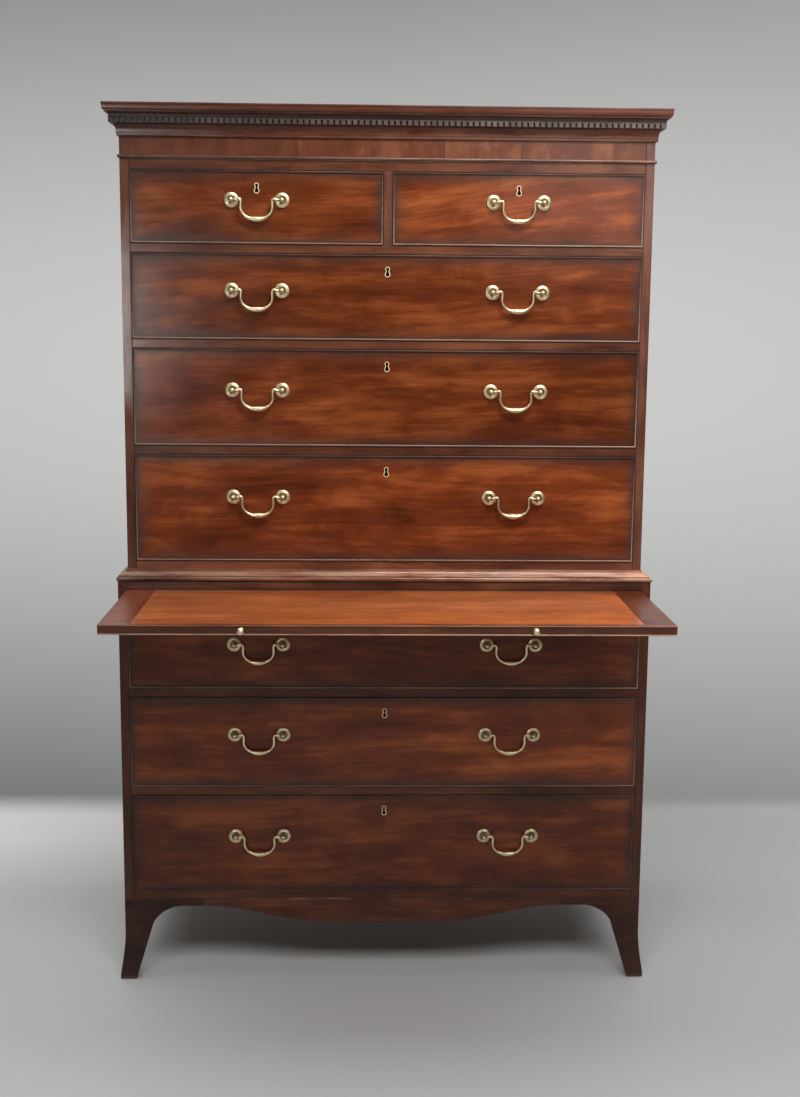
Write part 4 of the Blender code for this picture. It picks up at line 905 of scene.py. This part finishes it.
# The lip's foot bead is painted pale, wear with a painted highlight, and its top bead a little; the face
# between the beads and the creases beside them are darker.
rubbed = [
    (0.2 if up > LIP_DEPTH / 2 else 0.9) if deep < LIP_BEAD / 2 else 0.0 for deep, up in lip_profile]
grime = [0.35 if LIP_BEAD * 0.8 < deep < LIP_DEPTH / 2 else 0.0 for deep, _ in lip_profile]
bm = bmesh.new()
sweep(bm, rows, (("rubbed", rubbed), ("grime", grime)))
fit("slide_lip", bm, lip_wood, "brushing_slide", ["slide_panel"], 40)

for hand in ("left", "right"):
    low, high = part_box("slide_clamp_" + hand)
    bm = bmesh.new()
    block(bm, low, high)
    ease(bm, deep_edges(bm), CLAMP_EASE)
    fit("clamp_" + hand, bm, clamp_wood, "brushing_slide", ["slide_clamp_" + hand])


def brass_finish(name, bright, tarnish, roughness, metallic=1.0):
    """Old cast and turned brass, with soft scratches and brown tarnish in its hollows."""
    metal = Finish(name)
    clouds = metal.clouds(metal.place, (70, 70, 70), 3.0, 0.55)
    scratches = metal.clouds(metal.place, (900, 300, 2200))
    hollow = metal.times(metal.marked("grime"), metal.spread(clouds, 0.25, 0.6, 0.7, 1.0))
    worn = metal.math("MAXIMUM", hollow, metal.spread(clouds, 0.54, 0.74, 0.0, 0.30))
    colour = metal.mix(worn, bright, tarnish)
    shine = metal.spread(clouds, 0.3, 0.7, roughness - 0.03, roughness + 0.08)
    shine = metal.plus(shine, metal.times(hollow, 0.22))
    return metal.done(colour, shine, scratches, 0.00002, 0.20, Metallic=metallic)


brass = brass_finish("mellow brass", (0.80, 0.66, 0.40), (0.18, 0.13, 0.062), 0.34)


def turn(bm, profile, segments, place):
    """Turn a profile of (radius, height) points on the lathe and set it in place."""
    before = set(bm.verts)
    points = [bm.verts.new((radius, 0, height)) for radius, height in profile]
    edges = [bm.edges.new(pair) for pair in zip(points, points[1:])]
    bmesh.ops.spin(
        bm, geom=points + edges, cent=(0, 0, 0), axis=(0, 0, 1), angle=2 * math.pi,
        steps=segments, use_merge=True)
    turned = [vert for vert in bm.verts if vert not in before]
    bmesh.ops.transform(bm, matrix=place, verts=turned)
    bmesh.ops.remove_doubles(bm, verts=turned, dist=0.000005)


KNOB_FULLNESS = 1.04
KNOB_ROUND = 0.80
KNOB_STEPS = 10
# Share of a knob's radius and of its length, from the lip of the slide out to its neck
KNOB_NECK = ((0, 0), (0.86, 0), (0.86, 0.06), (0.70, 0.11), (0.48, 0.15), (0.40, 0.24), (0.42, 0.33))
for hand in ("left", "right"):
    low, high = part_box("slide_knob_" + hand)
    radius = (high.x - low.x) / 2 * KNOB_FULLNESS
    length = high.y - low.y
    profile = [(radius * out, length * along) for out, along in KNOB_NECK]
    for step in range(1, KNOB_STEPS):
        angle = math.pi * (0.10 + 0.90 * step / KNOB_STEPS)
        profile.append(
            (radius * math.sin(angle), length - radius * KNOB_ROUND * (1 + math.cos(angle))))
    profile.append((0, length))
    bm = bmesh.new()
    middle = Vector(((low.x + high.x) / 2, high.y, (low.z + high.z) / 2))
    turn(bm, profile, 28, Matrix.Translation(middle) @ FORWARD)
    knob = fit("knob_" + hand, bm, brass, "brushing_slide", ["slide_knob_" + hand], 40)
    mark(knob, "grime", lambda co: 0.9 if co.y > high.y - length * 0.34 else 0.0)


# THE EIGHT DRAWERS
# Each front is solid mahogany with a mitred cockbead round it, and lapped dovetails join it
# to an oak box. A brass lock is let into its back behind a keyhole with a brass rim.
FRONT_THICKNESS = 0.020
BEAD_WIDTH = 0.003
BEAD_OUT = 0.0022
BEAD_ROUND = 0.0013
LET_IN = 0.001
LAP = 0.005
TAIL_SLACK = 0.0006
TAIL_PAST = 0.002
SIDE_BOARD = 0.0095
TAIL_PITCH = 0.050
PIN_NARROW = 0.004
PIN_WIDE = 0.009
KEY_DROP = 0.0332
KEY_HEIGHT = 0.0205
KEY_HEAD = 0.0046
KEY_FOOT = 0.0055
KEY_WAIST = 0.0019
KEY_RIM = 0.0014
KEY_RIM_OUT = 0.0015
KEY_DEPTH = 0.012
HEAD_SWEEP = math.radians(260)
FOOT_SWEEP = math.radians(220)
LOCK_WIDTH = 0.072
LOCK_HEIGHT = 0.050
LOCK_PROUD = 0.003
LOCK_DROP = 0.002
LOCK_EASE = 0.0004
# The lock's screws, as shares of its width from its middle and of its height from its top
SCREWS = ((-0.42, 0.12), (-0.42, 0.88), (0.42, 0.12), (0.42, 0.88))
SCREW_SUNK = 0.0005
SCREW_PROFILE = ((0, 0), (0.003, 0), (0.003, 0.0002), (0.0024, 0.0004), (0, 0.0004))
BOX_ROUND = 0.0012
# Distance in from the edge of a front, and how grimy the polish has gone there
EDGE_GRIME = ((0.0, 1.0), (0.0040, 0.95), (0.009, 0.62), (0.018, 0.28), (0.030, 0.09), (0.046, 0.0))
FRONT_TONES = ((0.092, 0.0180, 0.0052), (0.190, 0.0400, 0.0105), (0.350, 0.0900, 0.0225))
# How light each front is painted at its left and right, its own tone with painted light and
# shade, the slant of its grain, and the wear of the bead along its foot, painted pale with a
# highlight where light catches it
DRAWERS = {
    "lower_bottom": ((0.60, 0.74), 0.01, 0.05), "lower_middle": ((0.77, 1.20), 0.02, 0.45),
    "lower_top": ((0.63, 0.72), -0.01, 0.55), "upper_bottom": ((0.84, 1.15), 0.01, 0.80),
    "upper_middle": ((0.82, 0.68), 0.02, 0.80), "upper_top": ((0.54, 0.92), 0.05, 0.70),
    "short_left": ((0.56, 1.22), 0.02, 0.70), "short_right": ((0.70, 1.15), 0.12, 0.80)}
# The cockbeads are painted lighter at the right end, where more light falls.
bead_wood = mahogany(
    "cockbead mahogany", CASE_TONES_AND_SHEEN, "run", 0.24, 1.0, HARD_WEAR, tone_and_painted_light=(0.75, 1.25))
rim_brass = brass_finish("rim brass", (0.86, 0.68, 0.38), (0.32, 0.22, 0.10), 0.45, 0.30)


def keyhole(bm, head, foot, waist, place):
    """Draw a keyhole flat: a round head over a flared foot, from two spun arcs, and fill it."""
    head_z = KEY_HEIGHT / 2 - KEY_HEAD
    foot_z = KEY_FOOT - KEY_HEIGHT / 2
    ends = []
    for radius, centre_z, middle, swing in (
            (head, head_z, math.pi / 2, HEAD_SWEEP), (foot, foot_z, -math.pi / 2, FOOT_SWEEP)):
        begin = middle - swing / 2
        first = bm.verts.new((radius * math.cos(begin), 0, centre_z + radius * math.sin(begin)))
        spun = bmesh.ops.spin(
            bm, geom=[first], cent=(0, 0, centre_z), axis=(0, -1, 0), angle=swing, steps=14)
        ends.append((first, verts_in(spun["geom_last"])[0]))
    middle_z = (head_z + foot_z) / 2
    for side, start, stop in ((-1, ends[0][1], ends[1][0]), (1, ends[1][1], ends[0][0])):
        waist_vert = bm.verts.new((side * waist, 0, middle_z))
        bm.edges.new((start, waist_vert))
        bm.edges.new((waist_vert, stop))
    loop = [edge for edge in bm.edges if not edge.link_faces]
    filled = bmesh.ops.contextual_create(bm, geom=loop)["faces"]
    verts = {vert for face in filled for vert in face.verts}
    bmesh.ops.translate(bm, verts=list(verts), vec=place)
    return filled


def cut_away(bm, cutter):
    """Saw one closed mesh out of another, and give what is left."""
    pieces = []
    for part in (bm, cutter):
        bmesh.ops.recalc_face_normals(part, faces=part.faces)
        mesh = bpy.data.meshes.new("cut")
        part.to_mesh(mesh)
        part.free()
        pieces.append(bpy.data.objects.new("cut", mesh))
        bpy.context.scene.collection.objects.link(pieces[-1])
    work, tool = pieces
    saw = work.modifiers.new("saw", "BOOLEAN")
    saw.operation = "DIFFERENCE"
    saw.solver = "EXACT"
    saw.object = tool
    bpy.context.view_layer.update()
    graph = bpy.context.evaluated_depsgraph_get()
    left = bmesh.new()
    left.from_object(work, graph)
    for piece in pieces:
        mesh = piece.data
        bpy.data.objects.remove(piece)
        bpy.data.meshes.remove(mesh)
    return left


def edge_grime(low, high, face_y):
    """The rule for the dark polish round the edge of a drawer front."""
    def rule(co):
        if co.y > face_y + 0.0005:
            return 0.5
        inset = min(co.x - low.x, high.x - co.x, co.z - low.z, high.z - co.z)
        for (near, dark), (far, pale) in zip(EDGE_GRIME, EDGE_GRIME[1:]):
            if inset <= far:
                return dark + (pale - dark) * max(0, inset - near) / (far - near)
        return 0.0
    return rule


for label, (tone_and_painted_light, slant, foot_wear_and_highlight) in DRAWERS.items():
    body = "drawer_" + label
    face_y = LOWER_FRONT if label.startswith("lower") else UPPER_FRONT
    low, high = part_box("drawer_front_" + label)
    box_low, box_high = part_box("drawer_box_" + label)
    middle_x = (low.x + high.x) / 2
    key_place = Vector((middle_x, face_y, high.z - KEY_DROP))
    wood = mahogany(
        "front mahogany " + label, FRONT_TONES, "X", 0.17, tone_and_painted_light=tone_and_painted_light, slant=slant)

    bm = bmesh.new()
    faces = block(bm, (low.x, face_y, low.z), (high.x, face_y + FRONT_THICKNESS, high.z))
    bm.normal_update()
    shown = [face for face in faces if face.normal.y < -0.5]
    for (near, _), (far, _) in zip(EDGE_GRIME, EDGE_GRIME[1:]):
        bmesh.ops.inset_region(bm, faces=shown, thickness=far - near, use_even_offset=True)
    cutter = bmesh.new()
    hole = keyhole(
        cutter, KEY_HEAD - KEY_RIM, KEY_FOOT - KEY_RIM, KEY_WAIST,
        key_place - Vector((0, LET_IN, 0)))
    raise_faces(cutter, hole, (0, KEY_DEPTH + LET_IN, 0))
    tails = max(2, round((box_high.z - box_low.z) / TAIL_PITCH))
    pitch = (box_high.z - box_low.z) / tails
    size = pitch - PIN_WIDE
    for side, edge_x in ((-1, low.x), (1, high.x)):
        near_x, far_x = sorted(
            (edge_x - side * (SIDE_BOARD + TAIL_SLACK), edge_x + side * TAIL_PAST))
        for index in range(tails):
            root_z = box_low.z + pitch * index + PIN_WIDE / 2
            tail = block(
                cutter, (near_x, face_y + LAP, root_z),
                (far_x, face_y + FRONT_THICKNESS + TAIL_PAST, root_z + size))
            for vert in {vert for face in tail for vert in face.verts}:
                if vert.co.y < face_y + LAP + NEAR:
                    side_up = 1 if vert.co.z > root_z + size / 2 else -1
                    vert.co.z += side_up * (PIN_WIDE - PIN_NARROW) / 2
    board = fit(
        "front_" + label, cut_away(bm, cutter), wood, body,
        ["drawer_front_" + label])
    mark(board, "grime", edge_grime(low, high, face_y))

    bm = bmesh.new()
    ring = block(bm, (low.x, face_y, low.z), (high.x, face_y + LET_IN, high.z))
    bm.normal_update()
    front = [face for face in ring if face.normal.y < -0.5]
    bmesh.ops.delete(bm, geom=[face for face in ring if face not in front], context="FACES")
    strip = bmesh.ops.inset_region(
        bm, faces=front, thickness=BEAD_WIDTH, use_even_offset=True, use_boundary=True)["faces"]
    bmesh.ops.delete(bm, geom=front, context="FACES")
    crest = set(raise_faces(bm, strip, (0, -BEAD_OUT, 0)))
    bmesh.ops.recalc_face_normals(bm, faces=bm.faces)
    arrises = [
        edge for edge in bm.edges
        if all(vert in crest for vert in edge.verts) and edge.calc_face_angle(0) > 0.5]
    ease(bm, arrises, BEAD_ROUND, 3)
    bead = fit("cockbead_" + label, bm, bead_wood, body, (), 40)

    # The foot bead's crest is painted pale: wear, with a painted highlight where light catches it.
    def bead_wear_and_highlight(co):
        crest = co.y <= face_y - BEAD_OUT * 0.55
        return foot_wear_and_highlight if crest and co.z < low.z + BEAD_WIDTH else 0.0

    # Painted shade: dark at the bead's root in the joint, and darker along the top and sides than along
    # the foot, which the light catches.
    def bead_painted_shade(co):
        if co.y > face_y - BEAD_OUT * 0.3:
            return 0.95
        return 0.0 if co.z < low.z + BEAD_WIDTH else 0.45
    mark(bead, "rubbed", bead_wear_and_highlight)
    mark(bead, "grime", bead_painted_shade)

    bm = bmesh.new()
    plate = keyhole(
        bm, KEY_HEAD, KEY_FOOT, KEY_WAIST + KEY_RIM, key_place + Vector((0, LET_IN, 0)))
    rim = bmesh.ops.inset_region(
        bm, faces=plate, thickness=KEY_RIM, use_even_offset=True, use_boundary=True)["faces"]
    bmesh.ops.delete(bm, geom=plate, context="FACES")
    raise_faces(bm, rim, (0, -KEY_RIM_OUT, 0))
    fit("escutcheon_" + label, bm, rim_brass, body, (), 30)

    bm = bmesh.new()
    top_z = high.z - LOCK_DROP
    lock_y = face_y + FRONT_THICKNESS + LOCK_PROUD
    block(
        bm, (middle_x - LOCK_WIDTH / 2, face_y + FRONT_THICKNESS - LET_IN, top_z - LOCK_HEIGHT),
        (middle_x + LOCK_WIDTH / 2, lock_y, top_z))
    ease(bm, list(bm.edges), LOCK_EASE)
    for across, down in SCREWS:
        screw = (middle_x + across * LOCK_WIDTH, lock_y - SCREW_SUNK, top_z - down * LOCK_HEIGHT)
        turn(bm, SCREW_PROFILE, 12, Matrix.Translation(screw) @ FORWARD.inverted())
    lock = fit("lock_" + label, bm, brass, body)
    mark(lock, "grime", lambda co: 0.55)

    bm = merged_copy("drawer_box_" + label)
    rims = [
        edge for edge in deep_edges(bm)
        if all(vert.co.z > box_high.z - FLAT for vert in edge.verts) and edge.is_manifold]
    ease(bm, rims, BOX_ROUND, 3)
    fit("box_" + label, bm, oak, body, ["drawer_box_" + label])


# THE ROSETTES AND THE SWAN-NECK BAILS
# Turned brass rosettes, dished round a post with a ball on its end, and a cast swan-neck
# bail hung in each pair of posts by its turned-in ends.
ROSETTE = 0.0147
POST_OUT = 0.0115
BALL = 0.0046
BALL_STEPS = 10
BALL_FROM = math.radians(-52)
DISH = 0.0082
GROOVE = (0.0113, 0.0119)
BAIL_SPACING = 0.099
BAIL_DROP = 0.037
NECK = 0.0025
GRIP = 0.0055
BOW = 0.0035
PIN = 0.0016
PIN_LENGTH = 0.0035
PIN_SHOULDER = 0.0003
# Radius and height of the turned rosette, from its rim to the neck of its post
ROSETTE_PROFILE = (
    (0, 0), (ROSETTE, 0), (ROSETTE, 0.0015), (0.0143, 0.0023), (0.0134, 0.0029), (0.0122, 0.0032),
    (0.0116, 0.0028), (0.0110, 0.0032), (0.0100, 0.0036), (0.0090, 0.0033), (0.0080, 0.0023),
    (0.0068, 0.0013), (0.0055, 0.0009), (0.0042, 0.0010), (0.0036, 0.0016), (0.0031, 0.0028),
    (0.0028, 0.0048), (0.0030, 0.0066))
# Share of the half spacing, share of the drop and bar radius, from a post round to the grip
BAIL_PATH = (
    (0.760, 0.020, NECK), (0.690, 0.048, NECK * 1.08), (0.632, -0.010, NECK * 1.06),
    (0.617, -0.150, NECK), (0.626, -0.340, NECK), (0.612, -0.510, NECK), (0.552, -0.680, NECK),
    (0.445, -0.835, NECK * 1.06), (0.320, -0.930, NECK * 1.30), (0.190, -0.982, 0.0045),
    (0.090, -1.000, 0.0054))
rosette_brass = brass_finish("rosette brass", (0.80, 0.68, 0.43), (0.18, 0.125, 0.058), 0.36)
bail_brass = brass_finish("bail brass", (0.84, 0.71, 0.45), (0.24, 0.16, 0.075), 0.30)

for joint in frame["joints"]:
    if joint["type"] != "hinge":
        continue
    hinge = Vector(joint["pos_m"])
    label = joint["child"]
    face_y = hinge.y + POST_OUT
    half = BAIL_SPACING / 2
    posts = (hinge.x - half, hinge.x + half)

    bm = bmesh.new()
    profile = list(ROSETTE_PROFILE)
    for step in range(BALL_STEPS):
        angle = BALL_FROM + (math.pi / 2 - BALL_FROM) * step / BALL_STEPS
        profile.append((BALL * math.cos(angle), POST_OUT + BALL * math.sin(angle)))
    profile.append((0, POST_OUT + BALL))
    for x in posts:
        turn(bm, profile, 32, Matrix.Translation((x, face_y, hinge.z)) @ FORWARD)
    rosettes = fit("rosettes_" + label, bm, rosette_brass, joint["parent"], (), 40)

    def hollow(co):
        away = min(math.hypot(co.x - x, co.z - hinge.z) for x in posts)
        if face_y - co.y > POST_OUT - BALL:
            return 0.15
        if away < DISH:
            return 0.85
        return 0.55 if GROOVE[0] < away < GROOVE[1] else 0.0
    mark(rosettes, "grime", hollow)

    side_points = [
        (half - BALL + PIN_LENGTH, 0.0, PIN), (half - BALL - PIN_SHOULDER, 0.0, PIN * 1.15)]
    side_points += [(half * across, BAIL_DROP * up, bar) for across, up, bar in BAIL_PATH]
    path = [(-x, z, bar) for x, z, bar in side_points]
    path += [(0.0, -BAIL_DROP, GRIP), *reversed(side_points)]
    curve = bpy.data.curves.new("bail path", "CURVE")
    curve.dimensions = "3D"
    curve.bevel_depth = 1.0
    curve.bevel_resolution = 4
    curve.resolution_u = 4
    curve.use_fill_caps = True
    spline = curve.splines.new("BEZIER")
    spline.bezier_points.add(len(path) - 1)
    for point, (x, z, bar) in zip(spline.bezier_points, path):
        point.co = hinge + Vector((x, BOW * (z / BAIL_DROP) ** 2, z))
        point.radius = bar
        point.handle_left_type = point.handle_right_type = "AUTO"
    bar_object = bpy.data.objects.new("bail path", curve)
    bpy.context.scene.collection.objects.link(bar_object)
    bpy.context.view_layer.update()
    bm = bmesh.new()
    mesh = bpy.data.meshes.new_from_object(
        bar_object.evaluated_get(bpy.context.evaluated_depsgraph_get()))
    bm.from_mesh(mesh)
    bpy.data.objects.remove(bar_object)
    bmesh.ops.remove_doubles(bm, verts=bm.verts, dist=0.000005)
    bail = fit("swan_neck_" + label, bm, bail_brass, label, [label], 50)
    mark(bail, "grime", lambda co: 0.8 if abs(co.x - hinge.x) > half * 0.86 else 0.05)


# THE FRIEZE
# A mahogany board faced with leaves of veneer whose grain stands upright, butted side by
# side. The sides of the case show as a narrow stile at each end.
FRIEZE_FOOT = ASTRAGAL_FOOT + ASTRAGAL_HEIGHT
FRIEZE_TOP = 1.768
FRIEZE_THICKNESS = 0.020
FRIEZE_HALF = 0.5037
OPEN_JOINT = 0.0005
# Where one leaf of veneer meets the next, and the tone of each leaf, from the left
LEAF_JOINTS = (-0.419, -0.175, -0.020, 0.110, 0.259, 0.440)
LEAF_TONES = (0.10, 0.22, 0.66, 0.80, 1.10, 0.95, 0.70)
VENEER_TONES = ((0.085, 0.0270, 0.0150), (0.138, 0.0420, 0.0210), (0.250, 0.0880, 0.0430))


def veneer(name):
    """Upright figured veneer whose tone steps from leaf to leaf."""
    dark, middle, bright = VENEER_TONES
    wood = Finish(name)
    leaf = wood.marked("leaf")
    shift = wood.add("CombineXYZ", {0: wood.times(leaf, 7.0)})
    grain = wood.add("VectorMath", {0: wood.grained("Z"), 1: shift}, operation="ADD")
    flame = wood.clouds(grain, (6, 12, 15), 3.0, 0.6, 0.3)
    cross = wood.clouds(grain, (30, 40, 42), 3.0, 0.6)
    fibre = wood.clouds(grain, (18, 420, 520))
    dust = wood.spread(wood.clouds(wood.place, (30, 30, 30), 3.0), 0.3, 0.6, 0.6, 1.0)
    tone = wood.plus(wood.times(flame, 0.65), wood.times(cross, 0.35))
    tone = wood.plus(tone, wood.spread(leaf, 0.0, 1.0, -0.09, 0.09))
    colour = wood.mix(wood.spread(tone, 0.36, 0.56), dark, middle)
    colour = wood.mix(wood.spread(tone, 0.56, 0.72), colour, bright)
    colour = wood.shade(colour, wood.spread(fibre, 0.3, 0.7, 0.90, 1.06))
    colour = wood.mix(wood.times(wood.marked("grime"), dust), colour, GRIME_AND_SHADE)
    shine = wood.spread(flame, 0.3, 0.7, 0.18, 0.26)
    return wood.done(colour, shine, fibre, 0.0002, 0.2, Specular_IOR_Level=POLISH)


bm = bmesh.new()
block(
    bm, (-FRIEZE_HALF, UPPER_FRONT, FRIEZE_FOOT),
    (FRIEZE_HALF, UPPER_FRONT + FRIEZE_THICKNESS, FRIEZE_TOP))
for joint in LEAF_JOINTS:
    for x in (joint - OPEN_JOINT, joint + OPEN_JOINT):
        score(bm, (x, 0, 0), (1, 0, 0))
leaf_layer = bm.faces.layers.float.new("leaf")
grime_layer = bm.faces.layers.float.new("grime")
for face in bm.faces:
    x = face.calc_center_median().x
    face[leaf_layer] = LEAF_TONES[sum(x > joint for joint in LEAF_JOINTS)]
    away = min(abs(x - joint) for joint in LEAF_JOINTS)
    face[grime_layer] = 0.8 if away < OPEN_JOINT else 0.0
fit("frieze_board", bm, veneer("frieze veneer"), "case", ["frieze"])


# THE CORNICE
# Mahogany planed in long runs and mitred at the corners: a bead and a cove below, a strip of
# dentils sawn with round-topped slots, and a neck, fillet, ovolo and cap above.
CORNICE_FOOT = 1.719
CORNICE_OUT = 0.029
CORNICE_HEIGHT = 0.061
DENTIL_PITCH = 0.01175
DENTIL_SLOT = 0.0040
DENTIL_FOOT = 0.0247
DENTIL_HEAD = 0.0351
DENTIL_BACK = 0.0125
DENTIL_FACE = 0.0171
DENTIL_DEPTH = DENTIL_FACE - DENTIL_BACK
SLOT_ROOF = 0.0016
SLOT_FLARE = 1.12
SLOT_STEPS = 5
CHAMFER = 0.0004

# The fourth value of each step paints wear with a highlight on the crests, and the fifth paints shade in
# the cove under the dentils, behind them, and under each overhang.
cornice_profile = outline((
    ("line", BED, 0.0, 0.0, 1.0),
    ("line", 0.0012, 0.0, 0.1, 0.9),
    ("round", 0.0042, 0.0027, 0.4, 0.0),
    ("line", 0.0042, 0.0045, 0.2, 0.1),
    ("line", 0.0044, 0.0058, 0.0, 0.6),
    ("line", 0.0045, 0.0075, 0.25, 0.0),
    ("hollow", 0.0122, 0.0238, 0.0, 0.55),
    ("line", DENTIL_BACK, DENTIL_FOOT, 0.0, 1.0),
    ("line", DENTIL_BACK, DENTIL_HEAD + CHAMFER, 0.0, 1.0),
    ("line", DENTIL_FACE, DENTIL_HEAD + CHAMFER, 0.0, 1.0),
    ("line", DENTIL_FACE, 0.0372, 0.1, 0.8),
    ("hollow", 0.0239, 0.0430, 0.0, 0.9),
    ("line", 0.0239, 0.0452, 0.4, 0.1),
    ("line", 0.0254, 0.0454, 0.4, 0.0),
    ("line", 0.0255, 0.0461, 0.0, 0.8),
    ("round", 0.0281, 0.0564, 0.05, 0.1),
    ("line", 0.0281, 0.0573, 0.0, 1.0),
    ("line", CORNICE_OUT, 0.0573, 0.0, 0.8),
    ("line", CORNICE_OUT, CORNICE_HEIGHT - CHAMFER, 0.25, 0.4),
    ("line", CORNICE_OUT - CHAMFER, CORNICE_HEIGHT, 0.25, 0.4),
    ("line", BED, CORNICE_HEIGHT, 0.0, 0.4),
))
CORNICE_TONES = ((0.062, 0.0145, 0.0070), (0.125, 0.0305, 0.0135), (0.195, 0.052, 0.022))
DENTIL_TONES = ((0.060, 0.044, 0.036), (0.100, 0.075, 0.063), (0.165, 0.120, 0.098))
# The cornice and the dentils are painted darker at the left end and lighter at the right, where more
# light falls.
cornice_wood = mahogany("cornice mahogany", CORNICE_TONES, "run", 0.20, tone_and_painted_light=(0.62, 1.15))
dentil_wood = mahogany("dentil mahogany", DENTIL_TONES, "Z", 0.42, 0.8, tone_and_painted_light=(0.35, 1.25))
bm = bmesh.new()
mitred_run(bm, cornice_profile, UPPER_HALF, UPPER_FRONT, CORNICE_FOOT)
fit("cornice_run", bm, cornice_wood, "case", ["cornice"], 34)


def dentil_slot(bm, start, stop, turn_to):
    """One slot of the strip between two half teeth: an arch sawn in a plate, and its place."""
    middle = (start + stop) / 2
    half = DENTIL_SLOT / 2
    spring = DENTIL_HEAD - SLOT_ROOF - half
    corner = bm.verts.new((middle + half, 0, spring))
    arch = bmesh.ops.spin(
        bm, geom=[corner], cent=(middle, 0, spring), axis=(0, -1, 0), angle=math.pi, steps=SLOT_STEPS)
    others = [
        bm.verts.new((x, 0, z)) for x, z in (
            (middle - half * SLOT_FLARE, DENTIL_FOOT), (start, DENTIL_FOOT), (start, DENTIL_HEAD),
            (stop, DENTIL_HEAD), (stop, DENTIL_FOOT), (middle + half * SLOT_FLARE, DENTIL_FOOT))]
    chain = [verts_in(arch["geom_last"])[0], *others, corner]
    for pair in zip(chain, chain[1:]):
        bm.edges.new(pair)
    loop = [edge for edge in bm.edges if not edge.link_faces]
    face = bmesh.ops.contextual_create(bm, geom=loop)["faces"]
    back = raise_faces(bm, face, (0, DENTIL_DEPTH, 0))
    whole = back + list({vert for item in face for vert in item.verts})
    bmesh.ops.transform(bm, matrix=turn_to, verts=whole)


# Each run of dentils: its two ends along its own line, and how that line is moved and turned
CORNER = UPPER_FRONT - DENTIL_FACE
RUNS = (
    (-UPPER_HALF - DENTIL_FACE, UPPER_HALF + DENTIL_FACE, (0, CORNER), 0),
    (CORNER, BACK, (UPPER_HALF + DENTIL_FACE, 0), math.pi / 2),
    (-BACK, -CORNER, (-UPPER_HALF - DENTIL_FACE, 0), -math.pi / 2),
)
bm = bmesh.new()
for start, stop, move, angle in RUNS:
    place = Matrix.Translation((*move, CORNICE_FOOT)) @ Matrix.Rotation(angle, 4, "Z")
    count = round((stop - start) / DENTIL_PITCH)
    pitch = (stop - start) / count
    for index in range(1, count):
        middle = start + pitch * index
        dentil_slot(bm, middle - pitch / 2, middle + pitch / 2, place)
    # The half teeth at the ends. Those of the side runs stop behind the front run.
    for low_x, high_x in ((start, start + pitch / 2), (stop - pitch / 2, stop)):
        if low_x == CORNER:
            low_x += DENTIL_DEPTH
        if high_x == -CORNER:
            high_x -= DENTIL_DEPTH
        faces = block(bm, (low_x, 0, DENTIL_FOOT), (high_x, DENTIL_DEPTH, DENTIL_HEAD))
        verts = list({vert for face in faces for vert in face.verts})
        bmesh.ops.transform(bm, matrix=place, verts=verts)
fit("dentils", bm, dentil_wood, "case", ["cornice"])


# THE END
# The scene is brought up to date.
bpy.context.view_layer.update()
